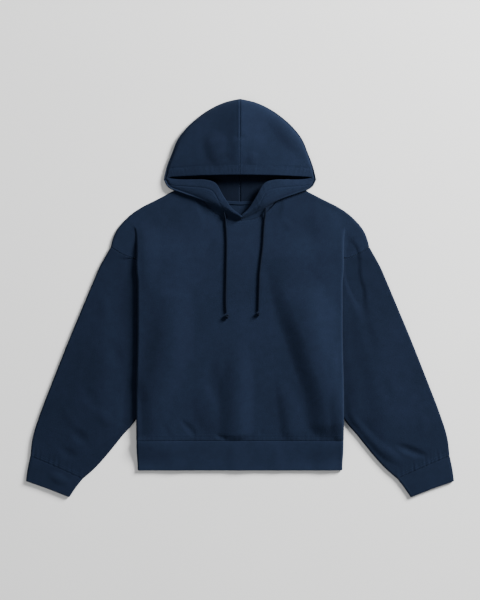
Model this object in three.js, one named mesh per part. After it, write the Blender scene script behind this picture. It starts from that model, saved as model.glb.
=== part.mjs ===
// Pullover hoodie lying flat on its back, hood up, sleeves straight down beside the body.
// Millimetres. +X to the right of the picture, +Y towards the hood, +Z up from the surface it lies on.
// Every cloth piece is a middle surface, given by functions and short tables, thickened to a wall.

import * as THREE from 'three';

// Driving sizes
const WALL = 2.6;               // brushed fleece
const HALF = WALL / 2;
const SEAM_GAP = 0.3;           // between neighbours along a seam
const CLEAR = 0.5;              // between layers that lie on each other
const HEM_SEAM_Y = -342;
const HEM_BOTTOM_Y = -413;
const NECK_HALF = 106;          // half the neck width, at the high point of the shoulder
const STEP_TOP = 270;           // where the body's side edge runs into the shoulder line
const SHOULDER_TIP = [309, 122];
const ARMHOLE_Y = 96;           // lowest visible point of the armhole seam
const FOLD_R = 4;               // how far from a folded edge the cloth starts to turn down
const FLAT_GAP = 3.4;           // air between front and back where they lie loosely
const LOOSE_GAP = 2.72;         // the same where a band or a shoulder holds them
const SEAM_AIR = 1.5;           // and next to a seam
const STRIP_TOP = 5.9;          // middle of a sleeve's upper layer where the body lies on it
const STRIP_RAISE = 8;          // how far that lifts the body
const STRIP_LEAD = 62;          // the lift starts this far inside the strip's edge
const STRIP_SLOPE = 34;         // and takes this long to reach its height
const CORD_D = 4.8;
const FLOOR = HALF;

// Half-width of the body's side edge at each height
const SIDE_EDGE = [[-413, 244], [-342, 247], [-245, 247], [-76, 244], [35, 244], [66, 246.6], [98, 247.6],
  [130, 247.6], [161, 249], [173, 254], [182, 262], [191, STEP_TOP]];
// Height of the shoulder line and of the two necklines at each half-width
const SHOULDER = [[NECK_HALF, 281], [156, 257], [199, 235], [238, 215], [STEP_TOP, 191], [287, 166],
  SHOULDER_TIP];
const FRONT_NECK = [[0, 185], [25, 187.5], [50, 197], [75, 217], [95, 245], [NECK_HALF, 281]];
const BACK_NECK = [[0, 227], [30, 229], [60, 238], [85, 255], [NECK_HALF, 281]];
// Inner edge of the sleeve strip that lies under the body, by height
const STRIP_EDGE = [[-338, 312], [-283, 247], [-220, 232], [-130, 215], [-5, 197], [28, 226], [66, 247],
  [80, 275], [100, 312], [130, 400]];

// Large folds of the upper layer, seen from above: height, half-width, path
const FOLDS = [
  { rise: -4.4, half: 22, path: [[67, 54], [91, 17], [139, -98], [173, -209], [187, -310]] },
  { rise: 3.2, half: 22, path: [[80, -90], [110, -170], [139, -233], [151, -345]] },
  { rise: 3.6, half: 24, path: [[-120, 79], [-115, -17], [-134, -108], [-166, -233], [-178, -340]] },
  { rise: -2.4, half: 22, path: [[-196, -30], [-196, -197], [-212, -290]] },
  { rise: -4, half: 19, path: [[-29, -160], [-31, -245], [-22, -338]] },
  { rise: 3.4, half: 22, path: [[9, -110], [12, -240], [10, -375]] },
  { rise: -3.6, half: 16, path: [[80, -200], [101, -257], [106, -325]] },
  { rise: -2.6, half: 12, path: [[-146, -288], [-101, -333]] },
  { rise: -2, half: 12, path: [[-120, -228], [-132, -293]] },
  { rise: 1.8, half: 20, path: [[-84, -300], [-36, -318]] },
  { rise: 1.8, half: 22, path: [[205, -250], [205, -370]] },
  { rise: 1.6, half: 30, path: [[-225, 150], [-205, 110]] },
  { rise: 1.6, half: 30, path: [[178, 178], [240, 195]] },
  { rise: -2.6, half: 14, path: [[257, 172], [271, 150], [278, 115], [283, 55], [305, 19], [317, -53]] },
  { rise: 2, half: 16, path: [[262, -280], [317, -346], [396, -398]] },
  { rise: -2.4, half: 13, path: [[372, -352], [403, -362], [450, -378]] },
  { rise: -2, half: 12, path: [[-401, -314], [-367, -345]] },
  { rise: 1.6, half: 14, path: [[-333, -278], [-313, -300]] },
  { rise: -2, half: 12, path: [[-430, -362], [-395, -378]] },
  { rise: -1.6, half: 12, path: [[-307, -113], [-283, -161]] },
  { rise: 1.8, half: 16, path: [[-462, -418], [-405, -446]] },
];
// A broad lift of the lower front, where the loose cloth gathers above the band
const PUFF = { rise: 2.4, halfWidth: 215, bottom: -420, top: 40, sideSlope: 1.6, endSlope: 4 };
const AIR_REACH = 60;           // the air between the layers grows over this distance from the neck seam
const FOLD_REACH = 30;          // and the folds over this one

// Small maths
const clamp01 = (t) => Math.min(1, Math.max(0, t));
const smooth = (t) => clamp01(t) ** 2 * (3 - 2 * clamp01(t));
const mix = (a, b, t) => a + (b - a) * t;

// A smooth curve through a table of [position, value] rows
function readTable(table, at) {
  const last = table.length - 1;
  if (at <= table[0][0]) return table[0][1];
  if (at >= table[last][0]) return table[last][1];
  let k = 0;
  while (at > table[k + 1][0]) k += 1;
  const slope = (i) => (table[i + 1][1] - table[i][1]) / (table[i + 1][0] - table[i][0]);
  const knotSlope = (i) => {
    if (i === 0) return slope(0);
    if (i === last) return slope(last - 1);
    const [a, b] = [slope(i - 1), slope(i)];
    return a * b <= 0 ? 0 : (2 * a * b) / (a + b);
  };
  const width = table[k + 1][0] - table[k][0];
  const t = (at - table[k][0]) / width;
  const h = t * t * (3 - 2 * t);
  const ease = t * (1 - t) * width;
  const bend = (1 - t) * knotSlope(k) - t * knotSlope(k + 1);
  return mix(table[k][1], table[k + 1][1], h) + ease * bend;
}

function distanceToPath(x, y, path) {
  let best = Infinity;
  for (let i = 1; i < path.length; i += 1) {
    const [[ax, ay], [bx, by]] = [path[i - 1], path[i]];
    const reach = (bx - ax) ** 2 + (by - ay) ** 2;
    const along = clamp01(((x - ax) * (bx - ax) + (y - ay) * (by - ay)) / reach);
    best = Math.min(best, Math.hypot(x - mix(ax, bx, along), y - mix(ay, by, along)));
  }
  return best;
}

function foldHeight(x, y) {
  let height = 0;
  for (const fold of FOLDS) {
    const q = distanceToPath(x, y, fold.path) / fold.half;
    if (q < 1) height += fold.rise * (1 - q * q) ** 2;
  }
  return height;
}

// The plan and the heights of the laid garment
const sideEdge = (y) => readTable(SIDE_EDGE, y);
const shoulderLine = (x) => readTable(SHOULDER, Math.abs(x));
const quarterTurn = (inset, radius) => Math.sqrt(1 - (1 - clamp01(inset / radius)) ** 2);

function topEdge(x, neckline) {
  return Math.abs(x) < NECK_HALF ? readTable(neckline, Math.abs(x)) : shoulderLine(x);
}

// How far the sleeve strips lift the body
function raised(x, y) {
  const inner = readTable(STRIP_EDGE, y);
  return STRIP_RAISE * smooth((Math.abs(x) - inner + STRIP_LEAD) / STRIP_SLOPE);
}

const backMiddle = (x, y) => FLOOR + raised(x, y);

function frontMiddle(x, y) {
  const below = topEdge(x, FRONT_NECK) - y - FOLD_R;
  const air = mix(SEAM_AIR, FLAT_GAP, smooth(below / AIR_REACH));
  const across = 1 - (x / PUFF.halfWidth) ** 2;
  const upward = (y - PUFF.bottom) / (PUFF.top - PUFF.bottom);
  const fade = smooth(across * PUFF.sideSlope) * smooth(Math.min(upward, 1 - upward) * PUFF.endSlope);
  const loose = air + PUFF.rise * fade + foldHeight(x, y) * smooth(below / FOLD_REACH);
  return backMiddle(x, y) + WALL + Math.max(CLEAR, loose);
}

// A middle surface: points, quads and, on seam edges, the direction that crosses the seam
class Surface {
  constructor() {
    this.points = [];
    this.across = [];
    this.quads = [];
    this.found = new Map();
  }

  vertex(point, across = []) {
    const key = point.toArray().map((value) => Math.round(value * 50)).join(',');
    if (!this.found.has(key)) {
      this.found.set(key, this.points.length);
      this.points.push(point);
      this.across.push(across);
    } else if (across.length) this.across[this.found.get(key)] = across;
    return this.found.get(key);
  }

  // rows of { point, across }; a closed row joins its last point to its first
  addRows(rows, { closed = false, flip = false } = {}) {
    const index = rows.map((row) => row.map((entry) => this.vertex(entry.point, entry.across)));
    for (let j = 1; j < index.length; j += 1) {
      const count = index[j].length;
      for (let i = closed ? 0 : 1; i < count; i += 1) {
        const before = (i + count - 1) % count;
        const quad = [index[j - 1][before], index[j - 1][i], index[j][i], index[j][before]];
        this.quads.push(flip ? quad.reverse() : quad);
      }
    }
  }

  triangles() {
    const list = [];
    for (const [a, b, c, d] of this.quads) {
      if (a !== b && b !== c && a !== c) list.push([a, b, c]);
      if (a !== c && c !== d && a !== d) list.push([a, c, d]);
    }
    return list;
  }

  normals(triangles) {
    const normals = this.points.map(() => new THREE.Vector3());
    const [u, v] = [new THREE.Vector3(), new THREE.Vector3()];
    for (const [a, b, c] of triangles) {
      u.subVectors(this.points[b], this.points[a]);
      v.subVectors(this.points[c], this.points[a]);
      u.cross(v);
      for (const k of [a, b, c]) normals[k].add(u);
    }
    normals.forEach((normal, k) => {
      for (const across of this.across[k]) {
        normal.addScaledVector(across, -normal.dot(across) / across.lengthSq());
      }
      normal.normalize();
    });
    return normals;
  }

  // The closed wall: the surface moved out and in by half the thickness, with its open edges closed
  wall(thickness) {
    const triangles = this.triangles();
    const normals = this.normals(triangles);
    const count = this.points.length;
    const positions = [];
    for (const side of [0.5, -0.5]) {
      this.points.forEach((point, k) => {
        positions.push(...point.clone().addScaledVector(normals[k], side * thickness).toArray());
      });
    }
    const faces = [];
    const edges = new Set();
    for (const [a, b, c] of triangles) {
      faces.push(a, b, c, c + count, b + count, a + count);
      for (const edge of [[a, b], [b, c], [c, a]]) edges.add(edge.join(','));
    }
    for (const edge of edges) {
      const [a, b] = edge.split(',').map(Number);
      if (!edges.has(`${b},${a}`)) faces.push(b, a, a + count, b, a + count, b + count);
    }
    const geometry = new THREE.BufferGeometry();
    geometry.setAttribute('position', new THREE.Float32BufferAttribute(positions, 3));
    geometry.setIndex(faces);
    geometry.computeVertexNormals();
    return geometry;
  }
}

const at = (x, y, z) => new THREE.Vector3(x, y, z);
const UP = at(0, 0, 1);
const NORTH = at(0, 1, 0);
const EAST = at(1, 0, 0);

// Body: columns from the left edge to the right, rows from the hem seam to the shoulder line
const EDGE_INSETS = [0, 1.4, 2.7, FOLD_R];
const OUTER_SHARES = [0.9, 0.76, 0.62, 0.46, 0.3, 0.14, 0];
const NECK_COLUMNS = [95, 76, 52, 26];
const BODY_ROWS = [0, 0.05, 0.11, 0.17, 0.23, 0.29, 0.35, 0.42, 0.49, 0.56, 0.63, 0.7, 0.76, 0.822, 0.86, 0.9,
  0.94, 0.97];
const ARMHOLE_ROW = 13;
const SIDE_BLEND = 6;           // height over which the side fold takes over from the step at the drop shoulder
const LEAN_STEP = 12;

function bodyColumns() {
  const half = [
    ...EDGE_INSETS.map((inset) => ({ inset })),
    ...OUTER_SHARES.map((share) => ({ share })),
    ...NECK_COLUMNS.map((x) => ({ x })),
  ];
  const left = half.map((column) => ({ ...column, side: -1 }));
  const right = half.map((column) => ({ ...column, side: 1 })).reverse();
  return [...left, { x: 0, side: 1 }, ...right];
}

function columnX(column, edge) {
  if (column.inset !== undefined) return column.side * (edge - column.inset);
  if (column.share !== undefined) return column.side * mix(NECK_HALF, edge, column.share);
  return column.side * column.x;
}

// Where a column crosses a row; a row is a share of the height, or an inset square to the top edge
function panelPlan(column, row, neckline) {
  const topX = Math.abs(columnX(column, STEP_TOP));
  const top = topEdge(topX, neckline);
  const drop = (shoulderLine(topX + LEAN_STEP) - shoulderLine(topX)) / LEAN_STEP;
  const lean = topX < NECK_HALF ? 1 : Math.hypot(1, drop);
  const full = top - HEM_SEAM_Y - SEAM_GAP;
  const y = row.inset === undefined ? top - full * (1 - row.share) : top - row.inset * lean;
  return { x: columnX(column, sideEdge(y)), y, below: (top - y) / lean };
}

function panelHeight(front, place, column) {
  const { x, y, below } = place;
  const [low, high] = [backMiddle(x, y), frontMiddle(x, y)];
  const seam = (low + high) / 2 + (front ? SEAM_GAP / 2 : -SEAM_GAP / 2);
  const level = front ? high : low;
  const isSide = smooth((ARMHOLE_Y - 1 - y) / SIDE_BLEND);
  const inset = sideEdge(y) - Math.abs(x);
  const sideFold = mix(seam, level, quarterTurn(inset, FOLD_R));
  const lowestFoot = Math.max(FLOOR + WALL + LOOSE_GAP, low + WALL + CLEAR);
  const stepFoot = front ? Math.min(level, lowestFoot) : level;
  const step = mix(stepFoot, level, quarterTurn(inset, FOLD_R));
  const z = mix(step, sideFold, isSide);
  if (Math.abs(columnX(column, STEP_TOP)) < NECK_HALF - 0.01) return z;
  return mix(seam, z, quarterTurn(below, FOLD_R));
}

function bodyPanel(front) {
  const neckline = front ? FRONT_NECK : BACK_NECK;
  const surface = new Surface();
  const columns = bodyColumns();
  const topRows = [...EDGE_INSETS].reverse().map((inset) => ({ inset }));
  const rows = [...BODY_ROWS.map((share) => ({ share })), ...topRows];
  const grid = rows.map((row, j) => columns.map((column) => {
    const place = panelPlan(column, row, neckline);
    const point = at(place.x, place.y, panelHeight(front, place, column));
    const onSide = column.inset === 0 && j <= ARMHOLE_ROW;
    const onTop = j === rows.length - 1;
    const onNeck = onTop && Math.abs(columnX(column, STEP_TOP)) < NECK_HALF - 0.01;
    const across = j === 0 || onNeck ? [NORTH] : [];
    if (onSide || (onTop && !onNeck)) across.push(UP);
    return { point, across };
  }));
  surface.addRows(grid);
  for (const side of [-1, 1]) {
    const edge = grid.map((row) => row[side < 0 ? 0 : row.length - 1]);
    addExtension(surface, edge, side, front, rows);
  }
  return surface;
}

// The drop shoulder beyond the body's side edge, out to the armhole seam
const ARMHOLE = [SHOULDER_TIP, [284, 106], [270, 100], [258, ARMHOLE_Y], [250, 93.5], [248.8, 80], [246, 62],
  [227, 26], [197, -5]];
const ARMHOLE_SHOWN = 0.317;    // share of the armhole seam that the body leaves showing
const ARMHOLE_ACROSS = [26, -51];
const EXTENSION_STEPS = [0.2, 0.55, 1];
const CAP_BULGE = 6.5;          // outward roundness of the shoulder between its two straight stretches
const CAP_FOLD_SLOPE = 2.5;     // how fast folds grow from the shoulder line downwards

function planCurve(points) {
  const curve = new THREE.CatmullRomCurve3(points.map(([x, y]) => at(x, y, 0)), false, 'centripetal');
  return (t) => curve.getPointAt(t);
}

const armholeSeam = planCurve(ARMHOLE);

function addExtension(surface, sideColumn, side, front, rows) {
  const start = sideColumn[ARMHOLE_ROW].point.y;
  const end = sideColumn[sideColumn.length - 1].point.y;
  const strip = sideColumn.slice(ARMHOLE_ROW).map((entry, k) => {
    const t = (entry.point.y - start) / (end - start);
    const seamPoint = armholeSeam(ARMHOLE_SHOWN * (1 - t));
    const isTop = ARMHOLE_ROW + k === rows.length - 1;
    const below = rows[ARMHOLE_ROW + k].inset ?? FOLD_R;
    const outward = EXTENSION_STEPS.map((share) => {
      const bulge = CAP_BULGE * Math.sin(Math.PI * share) * t ** 3;
      const x = side * (mix(Math.abs(entry.point.x), seamPoint.x, share) + bulge);
      const y = mix(entry.point.y, seamPoint.y, share) + bulge / 2;
      const air = mix(SEAM_AIR, LOOSE_GAP, smooth((1 - t) * 2));
      const folds = foldHeight(x, y) * smooth((1 - t) * CAP_FOLD_SLOPE - 0.5);
      const high = FLOOR + WALL + Math.max(CLEAR, air + folds);
      const seam = (FLOOR + high) / 2 + (front ? SEAM_GAP / 2 : -SEAM_GAP / 2);
      const z = mix(seam, front ? high : FLOOR, quarterTurn(below, FOLD_R));
      const across = isTop ? [UP] : [];
      if (share === 1 && !isTop) across.push(at(side * ARMHOLE_ACROSS[0], ARMHOLE_ACROSS[1], 0));
      return { point: at(x, y, z), across };
    });
    const own = { point: entry.point, across: isTop || k === 0 ? entry.across : [] };
    return side < 0 ? [...outward.reverse(), own] : [own, ...outward];
  });
  surface.addRows(strip);
}

// Waist band: a flattened tube below the panels
const BAND_ROWS = [0, 0.18, 0.42, 0.7, 0.93, 1];
const BAND_FOLD_SHARE = 0.55;   // how much of a fold carries on into the band
const BAND_FOLD_DEPTH = -3;     // deepest fold that does

function hemBand() {
  const surface = new Surface();
  const upper = bodyColumns().filter((column) => column.inset !== 0);
  const lower = [...upper].reverse().filter((column, k) => column.inset !== undefined || k % 2 === 0);
  const rows = BAND_ROWS.map((share) => {
    const y = mix(HEM_SEAM_Y, HEM_BOTTOM_Y, share);
    const edge = sideEdge(y);
    const across = share === 0 || share === 1 ? [NORTH] : [];
    const high = (x) => {
      const seamLevel = frontMiddle(x, HEM_SEAM_Y);
      const folds = BAND_FOLD_SHARE * Math.max(BAND_FOLD_DEPTH, foldHeight(x, y));
      return mix(seamLevel, FLOOR + WALL + LOOSE_GAP + folds, smooth(share * 1.2));
    };
    const tip = (side) => at(side * edge, y, (FLOOR + high(side * edge)) / 2);
    const layer = (columns, top) => columns.map((column) => {
      const x = columnX(column, edge);
      const middle = (FLOOR + high(x)) / 2;
      const turn = quarterTurn(edge - Math.abs(x), FOLD_R);
      return { point: at(x, y, mix(middle, top ? high(x) : FLOOR, turn)), across };
    });
    const tips = [-1, 1].map((side) => ({ point: tip(side), across }));
    return [tips[0], ...layer(upper, true), tips[1], ...layer(lower, false)];
  });
  surface.addRows(rows, { closed: true, flip: true });
  return surface;
}

// Sleeves and cuffs, drawn for the right of the picture and mirrored for the left
const SLEEVE_OUTER = [SHOULDER_TIP, [336, 73], [349, 43], [378, -26], [406, -93], [446, -194], [480, -283],
  [496, -335], [501.5, -378.5]];
const SLEEVE_INNER = [[197, -5], [206, -68], [217, -140], [230, -210], [247, -283], [286, -333], [325, -381],
  [350, -408], [378, -432.5]];
const CUFF_SEAM = [[501.5, -378.5], [440, -404.5], [378, -432.5]];
const CUFF_END = [[512, -439], [461, -457], [410, -477]];
const SLEEVE_ROWS = 14;
const CUFF_ROWS = 4;
const SLEEVE_R = 3;
const SLEEVE_INSETS = [0.9, SLEEVE_R];
const SLEEVE_UPPER = [0.08, 0.16, 0.24, 0.317, 0.365, 0.44, 0.54, 0.7, 0.85];
const SLEEVE_LOWER = [0.7, 0.54, 0.44, 0.365, 0.317, 0.24, 0.16, 0.08];
const SLEEVE_AIR = { edge: 2.1, reach: 45, foldReach: 20 };
const UNDER_BODY = { past: 3, over: 14 };     // where the sleeve rises again outside the body's edge
const CUFF_ACROSS = [54, -123.5];
const CUFF_END_ACROSS = [38, -102];
const SLEEVE_SHIFT = 1.1;       // air in the armhole seam, and in the cuff seam below
const CUFF_SHIFT = 0.4;

// Fills the space between four plan curves
function patch(outer, inner, start, end) {
  return (u, v) => {
    const point = outer(v).multiplyScalar(1 - u).addScaledVector(inner(v), u);
    point.addScaledVector(start(u), 1 - v).addScaledVector(end(u), v);
    point.addScaledVector(start(0), -(1 - u) * (1 - v)).addScaledVector(start(1), -u * (1 - v));
    return point.addScaledVector(end(0), -(1 - u) * v).addScaledVector(end(1), -u * v);
  };
}

function sleeveTop(x, y, width, outerInset) {
  const air = mix(SLEEVE_AIR.edge, FLAT_GAP, smooth(outerInset / SLEEVE_AIR.reach));
  const folds = foldHeight(x, y) * smooth(Math.min(outerInset, width - outerInset) / SLEEVE_AIR.foldReach);
  const open = FLOOR + WALL + Math.max(CLEAR, air + folds);
  const outside = smooth((Math.abs(x) - sideEdge(y) - UNDER_BODY.past) / UNDER_BODY.over);
  const underBody = y < ARMHOLE_Y + SIDE_BLEND ? 1 - outside : 0;
  return mix(open, Math.min(open, STRIP_TOP), underBody);
}

// One flattened tube over a plan patch, its rings running from start to end
function flatTube(plan, shares, side, startDirection, endDirection, shiftStart) {
  const surface = new Surface();
  const [startAcross, endAcross] = [at(...startDirection, 0), at(...endDirection, 0)];
  const rows = shares.map((v, j) => {
    const [outerEdge, innerEdge] = [plan(0, v), plan(1, v)];
    const width = outerEdge.distanceTo(innerEdge);
    const ends = [[startAcross, 0], [endAcross, shares.length - 1]].filter(([, row]) => row === j);
    const across = ends.map(([direction]) => at(side * direction.x, direction.y, 0));
    const entry = (u, layer) => {
      const place = plan(u, v);
      if (j === 0) place.addScaledVector(startAcross, shiftStart / startAcross.length());
      const outerInset = u * width;
      const top = sleeveTop(side * place.x, place.y, width, outerInset);
      const middle = (FLOOR + top) / 2;
      const turn = quarterTurn(Math.min(outerInset, width - outerInset), SLEEVE_R);
      const level = { top, tip: middle, floor: FLOOR }[layer];
      return { point: at(side * place.x, place.y, mix(middle, level, turn)), across };
    };
    const near = SLEEVE_INSETS.map((inset) => inset / width);
    const far = [...near].reverse().map((share) => 1 - share);
    return [
      entry(0, 'tip'),
      ...[...near, ...SLEEVE_UPPER, ...far].map((u) => entry(u, 'top')),
      entry(1, 'tip'),
      ...[...[...far].reverse(), ...SLEEVE_LOWER, ...[...near].reverse()].map((u) => entry(u, 'floor')),
    ];
  });
  surface.addRows(rows, { closed: true, flip: side < 0 });
  return surface;
}

function evenShares(count, from = 0, to = 1) {
  return Array.from({ length: count }, (_, k) => mix(from, to, k / (count - 1)));
}

function sleeve(side) {
  const plan = patch(planCurve(SLEEVE_OUTER), planCurve(SLEEVE_INNER), armholeSeam, planCurve(CUFF_SEAM));
  return flatTube(plan, evenShares(SLEEVE_ROWS), side, ARMHOLE_ACROSS, CUFF_ACROSS, SLEEVE_SHIFT);
}

function cuff(side) {
  const outer = planCurve([CUFF_SEAM[0], [508, -410], CUFF_END[0]]);
  const inner = planCurve([CUFF_SEAM[2], [396, -456], CUFF_END[2]]);
  const plan = patch(outer, inner, planCurve(CUFF_SEAM), planCurve(CUFF_END));
  return flatTube(plan, evenShares(CUFF_ROWS), side, CUFF_ACROSS, CUFF_END_ACROSS, CUFF_SHIFT);
}

// Hood halves, drawn for the right of the picture and mirrored for the left.
// A row is one section: from the face edge over the upper layer to the fold, then underneath.
// Crown rows end at the back seam, flap rows at the front neckline.
const CROWN = [
  // face edge          fold at the outline     middle of upper layer   back seam
  { face: [0, 294, 20], fold: [0, 476.2, 6.5], top: 19, seam: 469, bend: 0, turnX: 0 },
  { face: [24, 294, 20], fold: [38, 467, 7], top: 19, seam: 440, bend: 0, turnX: 20 },
  { face: [55, 293.6, 19.5], fold: [77, 448, 7.2], top: 18.5, seam: 402, bend: 0.05, turnX: 42 },
  { face: [90, 293, 18.5], fold: [119, 415, 7.2], top: 17.5, seam: 358, bend: 0.15, turnX: 66 },
  { face: [122, 292, 16.5], fold: [147, 381, 7], top: 16, seam: 318, bend: 0.32, turnX: 84 },
  { face: [148, 291, 14.5], fold: [162, 346, 6.8], top: 14.5, seam: 282, bend: 0.55, turnX: 95 },
  { face: [164, 290, 12.5], fold: [174, 314, 6.5], top: 12.5, seam: 251, bend: 0.8, turnX: 102 },
  { face: [171.5, 287.5, 11], fold: [181.5, 284, 6], top: 11, seam: 228, bend: 1, turnX: 106 },
];
const FLAP = [
  // free edge          lower fold            middle of the flap  neckline point and its level
  { face: [171.5, 287.5, 11], fold: [181.5, 284, 6], top: 11, under: 1.3, neck: [106, 289], level: 1.3 },
  { face: [150, 283, 12], fold: [171, 266, 9.5], top: 13.2, under: 5.5, neck: [105.5, 279], level: 8 },
  { face: [115, 280, 14], fold: [138, 252, 12.4], top: 16, under: 8.6, neck: [102, 266], level: 8 },
  { face: [84, 278, 16], fold: [101, 239, 13.6], top: 17.5, under: 8.8, neck: [94.5, 248], level: 8 },
  { face: [58, 271, 17], fold: [74, 227, 14.2], top: 18.4, under: 9, neck: [75.5, 220], level: 6.5 },
  { face: [39, 243, 17], fold: [50, 215.5, 14.4], top: 18, under: 9, neck: [50.5, 199.4], level: 4.9 },
  { face: [20, 216, 16.4], fold: [27, 204.5, 13.8], top: 16.6, under: 8.6, neck: [25.5, 189.6], level: 4.9 },
  { face: [4, 198.5, 15.4], fold: [5, 195, 13], top: 15, under: 8.4, neck: [2.5, 187], level: 4.9 },
];
const HOOD_TURN = 7;            // how far from the outline the upper layer starts to turn
const LONGEST_TURN = 0.45;      // and the largest share of the section that it takes
const TURN_TOP = 0.16;          // how far the cloth has come down where it starts to turn
const NECK_LAP = 7;             // the hood's back layer passes the high point of the shoulder by this much
const CROSS_DROP = 5.2;         // the right flap's end lies this much lower, under the left one's
const CROSSING = { from: 0.62, over: 0.3, fold: 0.8, under: 0.6 };
const CROWN_ROWS = 13;
const FLAP_ROWS = 13;
const UPPER_SAMPLES = [0, 0.5, 1, 1.5, 2, 2.5, 3, 3.5];
const TAIL_SAMPLES = [4, 4.25, 4.5, 4.75, 5];
const LAPPED_UP_TO = 0.6;       // the flap rows up to here lie on the front panel, past its neckline
const LAP_FALL = { past: 12, over: 6 };

function betweenRows(table, pick) {
  const curve = new THREE.CatmullRomCurve3(table.map((row) => at(...pick(row))), false, 'centripetal');
  return (t) => curve.getPoint(t);
}

function pulledIn(fold, towards, amount, z) {
  const direction = at(towards.x - fold.x, towards.y - fold.y, 0);
  const length = Math.max(direction.length(), 1e-6);
  const step = Math.min(amount, length * LONGEST_TURN);
  return at(fold.x + (direction.x * step) / length, fold.y + (direction.y * step) / length, z);
}

// The stretch of a section from the face edge, over the top and round the fold
function foldedStart(face, fold, top, after, underLevel) {
  const upperMiddle = at(mix(face.x, fold.x, 0.5), mix(face.y, fold.y, 0.5), top);
  const turnTop = pulledIn(fold, face, HOOD_TURN, mix(top, fold.z, TURN_TOP));
  const turnUnder = pulledIn(fold, after, HOOD_TURN, underLevel);
  return [face, upperMiddle, turnTop, fold, turnUnder];
}

function crownRows() {
  const [faces, folds] = [betweenRows(CROWN, (row) => row.face), betweenRows(CROWN, (row) => row.fold)];
  const rest = betweenRows(CROWN, (row) => [row.top, row.seam, row.bend]);
  const turns = betweenRows(CROWN, (row) => [row.turnX, 0, 0]);
  return evenShares(CROWN_ROWS).map((s) => {
    const [face, fold] = [faces(s), folds(s)];
    const { x: top, y: seamY, z: bend } = rest(s);
    const dip = (x) => clamp01(bend) * (readTable(BACK_NECK, x) - BACK_NECK[0][1]);
    const onTail = (x) => at(x, seamY + dip(x), FLOOR);
    const turn = onTail(Math.max(0, turns(s).x));
    turn.y += NECK_LAP * clamp01(bend);
    const keys = [...foldedStart(face, fold, top, turn, FLOOR), turn];
    return { keys, tail: [...NECK_COLUMNS, 0].map((x) => onTail((turn.x * x) / NECK_HALF)) };
  });
}

function flapRows(side) {
  const [faces, folds] = [betweenRows(FLAP, (row) => row.face), betweenRows(FLAP, (row) => row.fold)];
  const rest = betweenRows(FLAP, (row) => [row.top, row.under, row.level]);
  const necks = betweenRows(FLAP, (row) => [...row.neck, 0]);
  return evenShares(FLAP_ROWS).map((s) => {
    const drop = side > 0 ? CROSS_DROP * smooth((s - CROSSING.from) / CROSSING.over) : 0;
    const [face, fold, neck] = [faces(s), folds(s), necks(s)];
    const { x: top, y: under, z: level } = rest(s);
    face.z -= drop;
    fold.z -= drop * CROSSING.fold;
    neck.z = level;
    const keys = foldedStart(face, fold, top - drop, neck, under - drop * CROSSING.under);
    return { keys: [...keys, neck], tail: [], liesOnBody: s < LAPPED_UP_TO };
  });
}

// The lowest middle level that clears the front panel; it falls to the floor just past the panel's edge
function clearOfBody(x, y) {
  const edge = topEdge(x, FRONT_NECK);
  const onPanel = frontMiddle(x, Math.min(y, edge)) + WALL + 2 * CLEAR;
  return mix(FLOOR, onPanel, smooth((edge + LAP_FALL.past - y) / LAP_FALL.over));
}

function sectionPoints({ keys, tail, liesOnBody }) {
  const curve = new THREE.CatmullRomCurve3(keys, false, 'centripetal');
  const start = UPPER_SAMPLES.map((sample) => curve.getPoint(sample / (keys.length - 1)));
  const under = TAIL_SAMPLES.map((sample) => {
    const point = curve.getPoint(sample / (keys.length - 1));
    const lowest = liesOnBody ? clearOfBody(point.x, point.y) : FLOOR;
    return point.setZ(Math.max(point.z, lowest));
  });
  return [...start, ...under, ...tail];
}

function hoodHalf(side) {
  const surface = new Surface();
  const crown = crownRows();
  const flap = flapRows(side);
  const place = (points, across) => points.map((point) => ({
    point: at(side * (point.x + SEAM_GAP / 2), point.y, point.z),
    across,
  }));
  const crownGrid = crown.map((row, j) => place(sectionPoints(row), j === 0 ? [EAST] : []));
  crownGrid.forEach((row) => { row[row.length - 1].across = [EAST]; });
  surface.addRows(crownGrid, { flip: side > 0 });
  flap[0].keys = crown[crown.length - 1].keys.slice(0, 6);
  const flapGrid = flap.map((row) => place(sectionPoints(row), []));
  surface.addRows(flapGrid, { flip: side > 0 });
  return surface;
}

// Tape over the back neck seam, made from the neckline and moved up
const TAPE = { half: 60, width: 8, thick: 1 };

function neckTape() {
  const surface = new Surface();
  const rows = [-0.5, 0.5].map((share) => evenShares(13, -TAPE.half, TAPE.half).map((x) => {
    const y = readTable(BACK_NECK, Math.abs(x)) + SEAM_GAP + share * TAPE.width;
    return { point: at(x, y, WALL + SEAM_GAP + TAPE.thick / 2) };
  }));
  surface.addRows(rows);
  return surface;
}

// Cords: hand-chosen points of the middle line; z is added from the cloth below
const CORD_PLAN = {
  left: [[-38, 203], [-36.4, 196], [-34.8, 187], [-33.8, 174], [-32.8, 160], [-32, 143], [-31.7, 127],
    [-31.8, 108], [-32.1, 90], [-32.6, 72], [-32.8, 54], [-33.2, 36], [-33.6, 16], [-33.8, -4], [-33.5, -20],
    [-32.3, -34]],
  right: [[61, 208], [60.2, 200], [59, 189], [57.9, 176], [57, 162], [56, 146], [55.2, 131], [53, 110],
    [50.2, 89], [48.2, 71], [46.6, 54], [46, 36], [45.4, 18], [44.8, 0], [44.4, -16], [44, -30]],
};
const CORD_TOP = { left: [13.9, 12.6], right: [13.4, 12.2] };
const KNOTS = {
  left: { centre: [-31, -43], radius: 5.4, length: 12 },
  right: { centre: [43.8, -37.5], radius: 4.6, length: 10 },
};

function cordRoute(name) {
  return CORD_PLAN[name].map(([x, y], k) => {
    const lying = frontMiddle(x, y) + HALF + SEAM_GAP + CORD_D / 2;
    return at(x, y, Math.max(lying, CORD_TOP[name][k] ?? 0));
  });
}

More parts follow.
